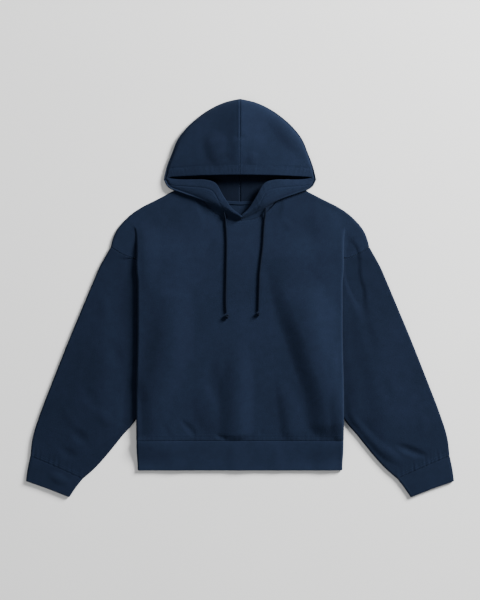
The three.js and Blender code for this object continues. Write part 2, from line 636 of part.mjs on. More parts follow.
function cordTube(name) {
  const sides = 8;
  const outline = new THREE.Shape(Array.from({ length: sides }, (_, k) => {
    const angle = (2 * Math.PI * k) / sides;
    return new THREE.Vector2(Math.cos(angle), Math.sin(angle)).multiplyScalar(CORD_D / 2);
  }));
  const extrudePath = new THREE.CatmullRomCurve3(cordRoute(name), false, 'centripetal');
  return new THREE.ExtrudeGeometry(outline, { steps: 26, bevelEnabled: false, extrudePath });
}

// Shares of a knot's radius and length, from its lower end up
const KNOT_PROFILE = [[0, -0.5], [0.62, -0.44], [0.95, -0.2], [1, 0.05], [0.86, 0.28], [0.5, 0.46], [0, 0.5]];

function knot(name) {
  const { radius, length } = KNOTS[name];
  return new THREE.LatheGeometry(KNOT_PROFILE.map(([r, y]) => new THREE.Vector2(r * radius, y * length)), 12);
}

// The finished group
const FLEECE = { color: 0x1f2b3d, roughness: 0.92, metalness: 0 };
const RIB = { color: 0x202d3f, roughness: 0.9, metalness: 0 };
const TAPE_FINISH = { color: 0x2b394c, roughness: 0.85, metalness: 0 };
const BRAID = { color: 0x0f1a2b, roughness: 0.8, metalness: 0 };

const hoodie = new THREE.Group();

function addPiece(name, geometry, finish) {
  const mesh = new THREE.Mesh(geometry, new THREE.MeshStandardMaterial(finish));
  mesh.name = name;
  hoodie.add(mesh);
  return mesh;
}

addPiece('body_front', bodyPanel(true).wall(WALL), FLEECE);
addPiece('body_back', bodyPanel(false).wall(WALL), FLEECE);
addPiece('hem_band', hemBand().wall(WALL), RIB);
for (const [name, side] of [['left', -1], ['right', 1]]) {
  addPiece(`sleeve_${name}`, sleeve(side).wall(WALL), FLEECE);
  addPiece(`cuff_${name}`, cuff(side).wall(WALL), RIB);
  addPiece(`hood_${name}`, hoodHalf(side).wall(WALL), FLEECE);
  addPiece(`cord_${name}`, cordTube(name), BRAID);
  const { centre: [x, y], radius } = KNOTS[name];
  const end = addPiece(`knot_${name}`, knot(name), BRAID);
  end.position.set(x, y, frontMiddle(x, y) + HALF + SEAM_GAP + radius);
}
addPiece('neck_tape', neckTape().wall(TAPE.thick), TAPE_FINISH);

export default hoodie;
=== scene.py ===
"""Pullover hoodie lying flat on a pale floor, seen from straight above.

Tables are in millimetres in the shared frame; meshes are made in metres.
Every cloth piece is a middle surface sampled on fine grids and thickened to a wall.
"""
import math
from collections import namedtuple
from types import SimpleNamespace as Sizes

import bpy
import numpy as np
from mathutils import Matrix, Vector
from mathutils.bvhtree import BVHTree


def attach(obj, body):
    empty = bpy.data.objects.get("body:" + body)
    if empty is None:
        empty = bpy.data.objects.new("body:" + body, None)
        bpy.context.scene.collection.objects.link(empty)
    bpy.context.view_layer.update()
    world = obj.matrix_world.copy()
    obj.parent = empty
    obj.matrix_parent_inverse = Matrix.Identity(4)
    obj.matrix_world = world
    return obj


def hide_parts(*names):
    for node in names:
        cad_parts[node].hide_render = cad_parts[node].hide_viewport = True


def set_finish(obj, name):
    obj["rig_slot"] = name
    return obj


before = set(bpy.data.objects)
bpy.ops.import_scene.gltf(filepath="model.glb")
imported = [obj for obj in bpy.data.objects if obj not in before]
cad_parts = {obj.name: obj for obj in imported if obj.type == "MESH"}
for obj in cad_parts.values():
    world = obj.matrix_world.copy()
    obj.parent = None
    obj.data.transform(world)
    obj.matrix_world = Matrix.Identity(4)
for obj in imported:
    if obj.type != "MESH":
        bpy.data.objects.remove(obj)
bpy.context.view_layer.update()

MM = 0.001

# Sizes shared with the solids
WALL = 2.6
HALF = WALL / 2
SEAM_GAP = 0.3
CLEAR = 0.5
HEM_SEAM_Y = -342
HEM_BOTTOM_Y = -413
NECK_HALF = 106
STEP_TOP = 270
SHOULDER_TIP = (309, 122)
ARMHOLE_Y = 96
FOLD_R = 4
FLAT_GAP = 3.4
EDGE_AIR = FLAT_GAP * 0.8
SEAM_AIR = 1.5
STRIP_TOP = 5.9
STRIP_RAISE = 8
STRIP_LEAD = 96
STRIP_SLOPE = 88
CORD_D = 4.8
FLOOR = HALF                    # the middle of a wall that rests on the floor

SIDE_EDGE = [(-413, 244), (-342, 247), (-245, 247), (-76, 244), (35, 244), (66, 246.6), (98, 247.6),
             (130, 247.6), (161, 249), (173, 254), (182, 262), (191, STEP_TOP)]
SHOULDER = [(NECK_HALF, 281), (156, 257), (199, 235), (238, 215), (STEP_TOP, 191), (287, 166), SHOULDER_TIP]
FRONT_NECK = [(0, 185), (25, 187.5), (50, 197), (75, 217), (95, 245), (NECK_HALF, 281)]
BACK_NECK = [(0, 227), (30, 229), (60, 238), (85, 255), (NECK_HALF, 281)]
STRIP_EDGE = [(-338, 312), (-283, 247), (-220, 232), (-130, 215), (-5, 197), (28, 226), (66, 247), (80, 275),
              (100, 312), (130, 400)]

# Folds of the upper layer. The half-width is one number or a pair, for the left and the right of the path.
# Grow and fade are the shares of the path over which the rise comes and goes.
Fold = namedtuple("Fold", "rise half path grow fade", defaults=(0.4, 0.4))
FOLDS = [
    Fold(9.2, (104, 52), [(74, 112), (112, 12), (150, -77), (174, -149), (200, -221), (211, -293),
                          (216, -345)], 0.4, 0.1),
    Fold(3, (40, 26), [(226, -190), (238, -270), (240, -345)], 0.5, 0.1),
    Fold(5.4, (56, 66), [(-138, 60), (-146, -10), (-157, -77), (-172, -150), (-196, -230),
                         (-210, -345)], 0.45, 0.5),
    Fold(5.8, (44, 46), [(0, -90), (-4, -170), (-8, -240), (-8, -300), (-6, -345)], 0.5, 0.08),
    Fold(3.4, (40, 26), [(88, -180), (102, -220), (114, -270), (124, -345)], 0.6, 0.15),
    Fold(1.9, (38, 34), [(-92, -190), (-88, -240), (-76, -290), (-66, -325)], 0.5, 0.35),
    Fold(-1.9, 12, [(-152, -286), (-136, -298), (-120, -314), (-104, -334)], 0.5, 0.3),
    Fold(-1.3, 9, [(-64, -322), (-48, -332), (-28, -335)], 0.4, 0.3),
    Fold(-1.6, 26, [(-62, -120), (-66, -190), (-54, -260)], 0.6, 0.4),
    Fold(-1.7, (36, 40), [(-288, 70), (-290, -60), (-292, -200), (-296, -290)], 0.2, 0.3),
    Fold(-4.4, 46, [(-256, -170), (-254, -260), (-254, -345)], 0.5, 0.1),
    Fold(2.4, (40, 22), [(-238, 196), (-226, 140), (-224, 70), (-228, 0)], 0.3, 0.5),
    Fold(3.4, 72, [(104, 170), (116, 104), (106, 20)], 0.5, 0.5),
    Fold(2.6, 56, [(150, 176), (205, 184), (250, 190)], 0.4, 0.4),
    Fold(-4.6, (22, 28), [(250, 182), (264, 150), (270, 112), (272, 55), (286, 8), (304, -70)], 0.3, 0.4),
    Fold(2.6, 20, [(255, -270), (317, -346), (400, -402)], 0.4, 0.3),
    Fold(-3.0, 14, [(366, -349), (395, -360), (426, -372), (456, -380)], 0.4, 0.4),
    Fold(-2.0, 20, [(-408, -306), (-385, -330), (-358, -352)], 0.5, 0.5),
    Fold(1.6, 22, [(-342, -266), (-322, -290), (-300, -312)], 0.5, 0.5),
    Fold(-1.8, 18, [(-438, -354), (-412, -372), (-384, -384)], 0.5, 0.5),
    Fold(-1.2, 22, [(-316, -95), (-298, -136), (-284, -178)], 0.5, 0.5),
    Fold(2.0, 16, [(-466, -416), (-432, -434), (-400, -448)], 0.5, 0.5),
]
HEM_FOLDS = [
    Fold(1.3, 34, [(-160, -330), (-158, -425)], 0.1, 0.1),
    Fold(1.8, (40, 30), [(-8, -330), (-4, -425)], 0.1, 0.1),
    Fold(1.5, 36, [(204, -330), (206, -425)], 0.1, 0.1),
    Fold(0.8, 26, [(84, -330), (88, -425)], 0.1, 0.1),
]
# The air under the front panel's middle
PUFF = Sizes(rise=5, half_width=238, bottom=-352, top=210, flat=1.6)
# The front rises over the sleeve strips on a longer slope than the back, up to where the strip's edge shows
LONG_SLOPE = Sizes(start=70, width=172, top=182, drop=88)
SOFT_EDGE = Sizes(amount=12, top=150, drop=70)
# Distances from the neckline at which the layers part, the air is full and the folds are full
HELD, AIR_FULL, FOLDS_FULL = 4, 60, 30


# Small maths on arrays
def smooth(t):
    t = np.clip(t, 0, 1)
    return t * t * (3 - 2 * t)


def mix(a, b, t):
    return a + (b - a) * t


def read_table(table, at):
    """A smooth curve through a table of (position, value) rows."""
    xs, ys = np.array(table, float).T
    slope = np.diff(ys) / np.diff(xs)
    knots = np.empty(len(xs))
    knots[0], knots[-1] = slope[0], slope[-1]
    a, b = slope[:-1], slope[1:]
    total = np.where(a * b > 0, a + b, 1)
    knots[1:-1] = np.where(a * b > 0, 2 * a * b / total, 0)
    at = np.clip(at, xs[0], xs[-1])
    k = np.clip(np.searchsorted(xs, at, side="right") - 1, 0, len(xs) - 2)
    width = xs[k + 1] - xs[k]
    t = (at - xs[k]) / width
    ease = t * (1 - t) * width
    return mix(ys[k], ys[k + 1], t * t * (3 - 2 * t)) + ease * ((1 - t) * knots[k] - t * knots[k + 1])


def spline(points, params):
    """Centripetal spline through points; each stretch between two points takes an equal share of 0 to 1."""
    points = np.array(points, float)
    params = np.atleast_1d(np.asarray(params, float))
    count = len(points)
    padded = np.vstack([2 * points[0] - points[1], points, 2 * points[-1] - points[-2]])
    place = np.clip(params, 0, 1) * (count - 1)
    k = np.minimum(place.astype(int), count - 2)
    t = (place - k)[:, None]
    p0, p1, p2, p3 = (padded[k + i] for i in range(4))

    def gap(a, b):
        return np.sqrt(np.linalg.norm(b - a, axis=1))[:, None]

    d1 = gap(p1, p2)
    d1 = np.where(d1 < 1e-4, 1, d1)
    d0, d2 = gap(p0, p1), gap(p2, p3)
    d0, d2 = np.where(d0 < 1e-4, d1, d0), np.where(d2 < 1e-4, d1, d2)
    m1 = ((p1 - p0) / d0 - (p2 - p0) / (d0 + d1) + (p2 - p1) / d1) * d1
    m2 = ((p2 - p1) / d1 - (p3 - p1) / (d1 + d2) + (p3 - p2) / d2) * d1
    return p1 + m1 * t + (3 * (p2 - p1) - 2 * m1 - m2) * t**2 + (2 * (p1 - p2) + m1 + m2) * t**3


def lengths(points):
    """Distance along a polyline at each of its points."""
    steps = np.linalg.norm(np.diff(points, axis=0), axis=1)
    return np.concatenate([[0], np.cumsum(steps)])


def even_line(line, shares):
    """Points of a polyline at shares of its length."""
    along = lengths(line)
    wanted = np.asarray(shares, float) * along[-1]
    return np.stack([np.interp(wanted, along, line[:, k]) for k in range(line.shape[1])], axis=-1)


def even(points, shares):
    """Points of the spline at shares of its length."""
    return even_line(spline(points, np.linspace(0, 1, 401)), shares)


def near_path(x, y, path):
    """Distance to a path, signed plus on its left, and the share of its length at the nearest point."""
    best, share, side = np.full(np.shape(x), 1e9), np.zeros(np.shape(x)), np.ones(np.shape(x))
    along = lengths(path)
    for (ax, ay), (bx, by), start, end in zip(path[:-1], path[1:], along[:-1], along[1:]):
        t = np.clip(((x - ax) * (bx - ax) + (y - ay) * (by - ay)) / ((bx - ax) ** 2 + (by - ay) ** 2), 0, 1)
        distance = np.hypot(x - mix(ax, bx, t), y - mix(ay, by, t))
        turned = (bx - ax) * (y - ay) - (by - ay) * (x - ax)
        share = np.where(distance < best, mix(start, end, t) / along[-1], share)
        side = np.where(distance < best, np.where(turned < 0, -1, 1), side)
        best = np.minimum(best, distance)
    return best * side, share


def fold_sum(x, y, table):
    """Soft folds, each rising and widening towards its middle."""
    height = np.zeros(np.shape(x))
    for fold in table:
        dense = spline(fold.path, np.linspace(0, 1, 4 * len(fold.path)))
        distance, share = near_path(x, y, dense)
        grown = smooth(share / fold.grow) * smooth((1 - share) / fold.fade)
        left, right = fold.half if isinstance(fold.half, tuple) else (fold.half, fold.half)
        across = mix(right, left, smooth((distance / min(left, right) + 0.25) / 0.5))
        q = distance / (across * (0.55 + 0.45 * grown))
        height += fold.rise * grown * np.clip(1 - q * q, 0, 1) ** 2
    return height


def ripple(along, seed, waves=((11.0, 1.0), (17.0, 0.8), (7.3, 0.5))):
    """Uneven small waves along a seam, from -1 to 1."""
    total = np.zeros(np.shape(along))
    for k, (length, weight) in enumerate(waves):
        drift = 0.7 * np.sin(along / (3.7 * length) + seed * (k + 2))
        total += weight * np.sin(2 * math.pi * along / length + seed * (k + 1) + 3 * drift)
    return total / sum(weight for _, weight in waves)


# The plan and the heights of the laid garment
def side_edge(y):
    return read_table(SIDE_EDGE, y)


def shoulder_line(x):
    return read_table(SHOULDER, np.abs(x))


def quarter_turn(inset, radius):
    return np.sqrt(1 - (1 - np.clip(inset / radius, 0, 1)) ** 2)


def top_edge(x, neckline):
    x = np.abs(x)
    return np.where(x < NECK_HALF, read_table(neckline, x), shoulder_line(x))


def raised(x, y):
    inner = read_table(STRIP_EDGE, y)
    return STRIP_RAISE * smooth((np.abs(x) - inner + STRIP_LEAD) / STRIP_SLOPE)


# Fine creases that the solids leave out
FINE = [
    Fold(-0.6, 11, [(-190, -296), (-176, -318), (-166, -338)]),
    Fold(-0.6, 10, [(46, -306), (52, -324), (50, -340)]),
    Fold(1.0, 16, [(226, -120), (222, -160), (224, -206)]),
    Fold(-0.8, 14, [(-60, 150), (-76, 122), (-84, 88)]),
    Fold(0.8, 14, [(96, 196), (112, 176), (136, 160)]),
    Fold(-0.9, 14, [(-150, 214), (-170, 196), (-182, 172)]),
    Fold(-0.9, 20, [(-382, -204), (-356, -240), (-336, -276)]),
    Fold(0.8, 18, [(-424, -256), (-404, -290), (-384, -322)]),
    Fold(-0.9, 20, [(330, -170), (344, -214), (372, -252)]),
    Fold(0.8, 18, [(430, -270), (440, -306), (434, -344)]),
    Fold(-0.8, 20, [(298, -50), (312, -98), (318, -150)]),
    Fold(0.7, 18, [(-340, 30), (-326, -16), (-316, -66)]),
]


HEM_GATHER, CUFF_GATHER, CUFF_GATHER_REACH = 0.3, 0.6, 38


def pucker(distance, along, seed, rise, reach=30):
    """Small waves that a seam gathers beside it."""
    return rise * smooth(1 - distance / reach) * ripple(along, seed)


def back_middle(x, y):
    return FLOOR + raised(x, y)


def lifted(x, y):
    """The front's own, longer rise over the sleeve strip, up to where its edge shows on the shoulder."""
    slope, soft = LONG_SLOPE, SOFT_EDGE
    outward = smooth((np.abs(x) - slope.start) / slope.width)
    own = STRIP_RAISE * outward * smooth((slope.top - y) / slope.drop)
    short = raised(x, y) - own
    rounding = soft.amount * smooth((soft.top - y) / soft.drop)
    return own + 0.5 * (short + np.sqrt(short**2 + rounding))


def front_middle(x, y, gathered=True):
    below = top_edge(x, FRONT_NECK) - y
    air = mix(SEAM_AIR, FLAT_GAP, smooth((below - HELD) / AIR_FULL))
    across = 1 - (x / PUFF.half_width) ** 2
    upward = (y - PUFF.bottom) / (PUFF.top - PUFF.bottom)
    puff = PUFF.rise * smooth(across * PUFF.flat) * 4 * np.clip(upward * (1 - upward), 0, 1)
    folds = fold_sum(x, y, FOLDS) + fold_sum(x, y, FINE)
    if gathered:
        folds = folds + pucker(y - HEM_SEAM_Y, x, 2.3, HEM_GATHER)
    loose = air + puff + folds * smooth((below - HELD) / FOLDS_FULL)
    return FLOOR + lifted(x, y) + WALL + np.maximum(CLEAR, loose)


# Camera: above the middle of the garment, looking straight down
PICTURE_HEIGHT = 1.44
PICTURE_CENTRE = (0.0, -0.0046)
LENS, SENSOR = 85.0, 36.0

camera_data = bpy.data.cameras.new("camera")
camera_data.lens = LENS
camera_data.sensor_width = SENSOR
camera_data.sensor_fit = "AUTO"
camera_data.clip_end = 50
camera = bpy.data.objects.new("camera", camera_data)
camera.location = (*PICTURE_CENTRE, PICTURE_HEIGHT * LENS / SENSOR)
bpy.context.scene.collection.objects.link(camera)
bpy.context.scene.camera = camera


# Materials
class Shader:
    """Node helpers for one procedural material."""

    def __init__(self, name):
        self.material = bpy.data.materials.new(name)
        self.material.use_nodes = True
        self.tree = self.material.node_tree
        self.surface = self.tree.nodes["Principled BSDF"]
        self.place = self.tree.nodes.new("ShaderNodeTexCoord").outputs["Object"]

    def fill(self, node, inputs):
        """Sets each input to its value, or links it to another node's output."""
        for key, value in inputs.items():
            if isinstance(value, bpy.types.NodeSocket):
                self.tree.links.new(value, node.inputs[key])
            else:
                node.inputs[key].default_value = value
        return node

    def add(self, kind, inputs):
        return self.fill(self.tree.nodes.new(f"ShaderNode{kind}"), inputs)

    def noise(self, scale, detail=2.0, roughness=0.5, stretch=None):
        place = self.place
        if stretch:
            place = self.add("Mapping", {"Scale": stretch, "Vector": place}).outputs["Vector"]
        inputs = {"Scale": scale, "Detail": detail, "Roughness": roughness, "Vector": place}
        return self.add("TexNoise", inputs).outputs["Fac"]

    def level(self):
        return self.add("SeparateXYZ", {"Vector": self.place}).outputs["Z"]

    def wales(self, pitch):
        inputs = {"Scale": 2 * math.pi / (20 * pitch), "Distortion": 1.5, "Detail": 1.0, "Detail Scale": 2.0}
        return self.add("TexWave", {**inputs, "Vector": self.place}).outputs["Fac"]

    def ranged(self, source, low, high, start=0.3, end=0.7):
        inputs = {"From Min": start, "From Max": end, "To Min": low, "To Max": high, "Value": source}
        return self.add("MapRange", inputs).outputs["Result"]

    def math(self, operation, first, second):
        node = self.add("Math", {0: first, 1: second})
        node.operation = operation
        return node.outputs[0]

    def times(self, *factors):
        product = factors[0]
        for factor in factors[1:]:
            product = self.math("MULTIPLY", product, factor)
        return product

    def colour(self, rgb, brightness):
        node = self.tree.nodes.new("ShaderNodeVectorMath")
        node.operation = "SCALE"
        self.fill(node, {0: rgb, "Scale": brightness})
        self.fill(self.surface, {"Base Color": node.outputs["Vector"]})

    def bump(self, height, distance, strength):
        node = self.add("Bump", {"Distance": distance, "Strength": strength, "Height": height})
        self.fill(self.surface, {"Normal": node.outputs["Normal"]})

    def finish(self, roughness, sheen=0.0, tint=(1, 1, 1)):
        self.fill(self.surface, {
            "Roughness": roughness, "Sheen Weight": sheen, "Sheen Roughness": 0.55, "Sheen Tint": (*tint, 1),
            "Specular IOR Level": 0.03,
        })
        return self.material


NAVY = (0.0069, 0.0116, 0.0250)
NAP_TINT = (0.62, 0.74, 0.95)
CLOTH_ROUGHNESS = 0.93
# Painted shade inside the hood: below these heights the hood's cloth is darkened, down to this share of its
# tone
PAINTED_INSIDE_SHADE, PAINTED_INSIDE_SHADE_HEIGHTS = 0.5, (0.0045, 0.0068)
Cloth = namedtuple("Cloth", "name brightness wale_pitch fuzz sheen bump lining", defaults=(None,))
CLOTHS = {
    "fleece": Cloth("brushed fleece", 1, 0.0013, 0.16, 0.025, 0.00045),
    # Painted shade: the sleeves are the body's fleece made darker, for the shade that falls on them
    "sleeve": Cloth("brushed fleece, darker as painted shade", 0.88, 0.0013, 0.16, 0.022, 0.00045),
    # Painted light: the hood is the body's fleece made a little lighter
    "hood": Cloth("brushed fleece of the hood", 1.04, 0.0013, 0.16, 0.025, 0.00045, PAINTED_INSIDE_SHADE),
    # Painted light and shade: the hem band's rib is made lighter and the cuffs' rib darker, one knit in two
    # tones
    "rib": Cloth("rib knit", 1.14, 0.0011, 0.12, 0.03, 0.0003),
    "cuff": Cloth("rib knit of the cuffs", 0.93, 0.0011, 0.12, 0.03, 0.0003),
    "tape": Cloth("neck tape", 1, 0.0008, 0.08, 0.02, 0.0002),
    "cord": Cloth("braid", 0.45, 0.0007, 0.15, 0.02, 0.0002),
    # Painted highlight: the thread is made much lighter than the cloth, for the light that its stitches catch
    "thread": Cloth("sewing thread", 1.7, 0.0004, 0.08, 0.01, 0.00008),
}


def cloth_material(cloth):
    """Knit with wales, felted lint and uneven dye."""
    shader = Shader(cloth.name)
    broad = shader.ranged(shader.noise(7, 2), 0.92, 1.08)
    patches = shader.ranged(shader.noise(60, 3), 0.94, 1.06)
    specks = shader.ranged(shader.noise(900, 2, stretch=(1, 0.6, 1)), 1 - cloth.fuzz, 1 + cloth.fuzz)
    tone = shader.times(broad, patches, specks)
    # Painted shade: the hood's cloth darkens below a height, where its inside lies
    if cloth.lining:
        tone = shader.times(tone, shader.ranged(shader.level(), cloth.lining, 1, *PAINTED_INSIDE_SHADE_HEIGHTS))
    # Each cloth's brightness scales the navy; for the sleeves, hood, hem band, cuffs and thread it is painted
    # light and shade
    shader.colour([cloth.brightness * channel for channel in NAVY], tone)
    wales = shader.ranged(shader.wales(cloth.wale_pitch), 0, 1, 0, 1)
    lint = shader.noise(1400, 3, 0.6)
    felted = shader.noise(260, 3, 0.6)
    height = shader.math("ADD", shader.times(wales, 0.15), lint)
    height = shader.math("ADD", height, shader.times(felted, 0.8))
    shader.bump(height, cloth.bump, 0.8)
    return shader.finish(CLOTH_ROUGHNESS, cloth.sheen, NAP_TINT)


MATERIALS = {key: cloth_material(cloth) for key, cloth in CLOTHS.items()}


def mesh_object(name, vertices, faces, slot, material=None):
    """A smooth mesh from points in millimetres."""
    mesh = bpy.data.meshes.new(name)
    mesh.from_pydata((np.asarray(vertices) * MM).tolist(), [], faces)
    mesh.update()
    mesh.polygons.foreach_set("use_smooth", np.ones(len(mesh.polygons), bool))
    mesh.materials.append(MATERIALS[material or slot])
    made = bpy.data.objects.new(name, mesh)
    bpy.context.scene.collection.objects.link(made)
    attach(made, "root")
    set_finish(made, slot)
    return made


# Cords: middle lines in plan, with heights where the flaps hold them
CORD_PLAN = {
    "left": [(-39.6, 214), (-38, 203), (-36.4, 196), (-34.8, 187), (-33.8, 174), (-32.8, 160),
             (-32, 143), (-31.7, 127), (-31.8, 108), (-32.1, 90), (-32.6, 72), (-32.8, 54),
             (-33.2, 36), (-33.6, 16), (-33.8, -4), (-33.5, -20), (-32.3, -34)],
    "right": [(62.1, 221), (61, 208), (60.2, 200), (59, 189), (57.9, 176), (57, 162), (56, 146),
              (55.2, 131), (53, 110), (50.2, 89), (48.2, 71), (46.6, 54), (46, 36), (45.4, 18),
              (44.8, 0), (44.4, -16), (44, -30)],
}
CORD_TOP = {"left": [9.2, 13.4, 12.6], "right": [9.6, 12.8, 12.2]}
KNOTS = {
    "left": {"centre": (-31, -43), "radius": 5.4, "length": 12},
    "right": {"centre": (43.8, -37.5), "radius": 4.6, "length": 10},
}
PULLED_TIGHT = 0.92             # the braid's share of its thickness in a knot


def cord_route(name):
    plan = np.array(CORD_PLAN[name], float)
    z = front_middle(plan[:, 0], plan[:, 1]) + HALF + SEAM_GAP + CORD_D / 2
    top = CORD_TOP[name]
    z[:len(top)] = top
    return np.column_stack([plan, z])


STRANDS, GROOVE = 3, 0.18       # of the braid: turns of its strands, and the share of the radius between them


def rings(path, radius, sides, braid):
    """Points of a tube round a path; the radius follows the strands of a round braid."""
    tangents = np.gradient(path, axis=0)
    tangents /= np.linalg.norm(tangents, axis=1)[:, None]
    normal = np.cross(tangents[0], (0, 0, 1.0))
    frames = []
    for tangent in tangents:
        normal = normal - tangent * normal.dot(tangent)
        normal /= np.linalg.norm(normal)
        frames.append((normal, np.cross(tangent, normal)))
    along = lengths(path)[:, None]
    angle = np.linspace(0, 2 * math.pi, sides, endpoint=False)[None, :]
    a = STRANDS * angle + along * braid
    b = STRANDS * angle - along * braid
    over = np.cos(a) ** 2 * (0.6 + 0.4 * np.cos(2 * b))
    under = np.cos(b) ** 2 * (0.6 - 0.4 * np.cos(2 * a))
    radii = radius * (1 - GROOVE + GROOVE * np.maximum(over, under))
    first = np.array([f[0] for f in frames])[:, None, :]
    second = np.array([f[1] for f in frames])[:, None, :]
    ring = np.cos(angle)[..., None] * first + np.sin(angle)[..., None] * second
    return path[:, None, :] + ring * np.broadcast_to(radii, (len(path), sides))[..., None]


def tube(name, path, radius, slot, sides=28, braid=1.1, closed=False):
    ring = rings(path, radius, sides, braid)
    count = len(path)
    vertices = list(ring.reshape(-1, 3))
    faces = []
    for j in range(count if closed else count - 1):
        for i in range(sides):
            n = (i + 1) % sides
            m = (j + 1) % count
            faces.append((j * sides + i, m * sides + i, m * sides + n, j * sides + n))
    if not closed:
        for row, turn in ((0, 1), (count - 1, -1)):
            loop = [row * sides + i for i in range(sides)]
            faces.append(tuple(loop[::turn]))
    return mesh_object(name, vertices, faces, slot)


def overhand_knot(name, centre, radius, length):
    """A small overhand knot with its cut end below."""
    x, y = centre
    level = front_middle(np.array(x), np.array(y)) + HALF + SEAM_GAP + radius
    t = np.linspace(0, 2 * math.pi, 90, endpoint=False)
    cord_radius = CORD_D / 2 * PULLED_TIGHT
    reach = (radius - cord_radius) / 3
    loop = np.column_stack([
        x + reach * (np.sin(t) + 2 * np.sin(2 * t)),
        y + reach * 1.15 * (np.cos(t) - 2 * np.cos(2 * t)),
        level - 0.5 - 1.7 * np.sin(3 * t),
    ])
    knot = tube(f"knot_{name}_turns", loop, cord_radius, "cord", sides=20, closed=True)
    tail_path = spline([(x, y + 1, level - 1), (x + 0.6, y - length * 0.3, level - 1.4),
                        (x + 0.4, y - length * 0.5, level - 2)], np.linspace(0, 1, 16))
    tail = tube(f"knot_{name}_end", tail_path, cord_radius, "cord", sides=20)
    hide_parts(f"knot_{name}")
    return [knot, tail]


for name in ("left", "right"):
    dense = spline(cord_route(name), np.linspace(0, 1, 480))
    body = tube(f"cord_{name}_braid", dense, CORD_D / 2, "cord")
    pieces = overhand_knot(name, **KNOTS[name])
    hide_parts(f"cord_{name}")


class Surface:
    """A middle surface made of grids that share points, thickened to a closed wall."""

    def __init__(self):
        self.grids = []

    def add(self, points, across=None, second=None, thick=None, closed=False, flip=False):
        shape = points.shape[:2]
        self.grids.append({
            "points": points, "closed": closed, "flip": flip,
            "across": np.zeros((*shape, 3)) if across is None else across,
            "second": np.zeros((*shape, 3)) if second is None else second,
            "thick": np.ones(shape) if thick is None else thick,
        })

    def merged(self):
        gather = {key: np.concatenate([g[key].reshape(-1, *g[key].shape[2:]) for g in self.grids])
                  for key in ("points", "across", "second", "thick")}
        keys = np.round(gather["points"] * 50).astype(np.int64)
        _, first, index = np.unique(keys, axis=0, return_index=True, return_inverse=True)
        index = index.reshape(-1)
        made = {key: gather[key][first].copy() for key in gather}
        for key in ("across", "second"):
            used = np.linalg.norm(gather[key], axis=1) > 0
            made[key][index[used]] = gather[key][used]
        made["thick"] = np.full(len(first), 9.0)
        np.minimum.at(made["thick"], index, gather["thick"])
        quads = []
        start = 0
        for g in self.grids:
            rows, columns = g["points"].shape[:2]
            ids = index[start:start + rows * columns].reshape(rows, columns)
            start += rows * columns
            if g["closed"]:
                ids = np.concatenate([ids, ids[:, :1]], axis=1)
            quad = np.stack([ids[:-1, :-1], ids[:-1, 1:], ids[1:, 1:], ids[1:, :-1]], axis=-1).reshape(-1, 4)
            quads.append(quad[:, ::-1] if g["flip"] else quad)
        return made, np.concatenate(quads)

    def wall(self, thickness):
        made, quads = self.merged()
        points = made["points"]
        normal = np.zeros_like(points)
        for a, b, c in ((0, 1, 2), (0, 2, 3)):
            corner = points[quads[:, a]]
            face = np.cross(points[quads[:, b]] - corner, points[quads[:, c]] - corner)
            for k in (a, b, c):
                np.add.at(normal, quads[:, k], face)
        for key in ("across", "second"):
            size = (made[key] ** 2).sum(1)
            share = np.where(size > 0, (normal * made[key]).sum(1) / np.where(size > 0, size, 1), 0)
            normal -= share[:, None] * made[key]
        normal /= np.linalg.norm(normal, axis=1)[:, None]
        offset = normal * (made["thick"] * thickness / 2)[:, None]
        count = len(points)
        faces = []
        edges = set()
        for quad in quads.tolist():
            loop = [v for k, v in enumerate(quad) if v != quad[k - 1]]
            if len(loop) < 3:
                continue
            faces.append(loop)
            faces.append([v + count for v in reversed(loop)])
            edges.update(zip(loop, loop[1:] + loop[:1]))
        for a, b in edges:
            if (b, a) not in edges:
                faces.append([b, a, a + count, b + count])
        return np.vstack([points + offset, points - offset]), faces


UP, NORTH, EAST = (0, 0, 1.0), (0, 1.0, 0), (1.0, 0, 0)
SIDES = {"left": -1, "right": 1}

# How the wall thins towards a cut or seamed edge, by distance from it
EDGE_STEPS = [0, 0.35, 0.9, 1.7, 2.7]


def edge_thickness(distance, edge=0.45, reach=2.6):
    return edge + (1 - edge) * quarter_turn(distance, reach)


# Body panels
FOLD_INSETS = [0, 0.5, 1.1, 1.8, 2.7, FOLD_R]
ARMHOLE = [SHOULDER_TIP, (284, 106), (270, 100), (258, ARMHOLE_Y), (250, 93.5), (248.8, 80), (246, 62),
           (227, 26), (197, -5)]
ARMHOLE_SHOWN = 0.317           # the share of the seam that lies outside the body
ARMHOLE_SHARE = 0.822           # its height on the panel, from the hem
PANEL_LENGTH = 530
SHOULDER_BULGE = 6.5


def across_seam(start, end):
    """The direction square to the line between two points."""
    return end[1] - start[1], start[0] - end[0]


ARMHOLE_ACROSS = across_seam(SHOULDER_TIP, (258, ARMHOLE_Y))


def body_columns(outer, neck):
    half = [("inset", value) for value in FOLD_INSETS]
    half += [("share", value) for value in np.linspace(0.955, 0, outer)]
    half += [("x", value) for value in np.linspace(NECK_HALF, 0, neck + 2)[1:-1]]
    left = [(kind, value, -1) for kind, value in half]
    right = [(kind, value, 1) for kind, value in reversed(half)]
    return left + [("x", 0.0, 1)] + right


def column_x(column, edge):
    kind, value, side = column
    if kind == "inset":
        return side * (edge - value)
    if kind == "share":
        return side * mix(NECK_HALF, edge, value)
    return side * value + 0 * edge


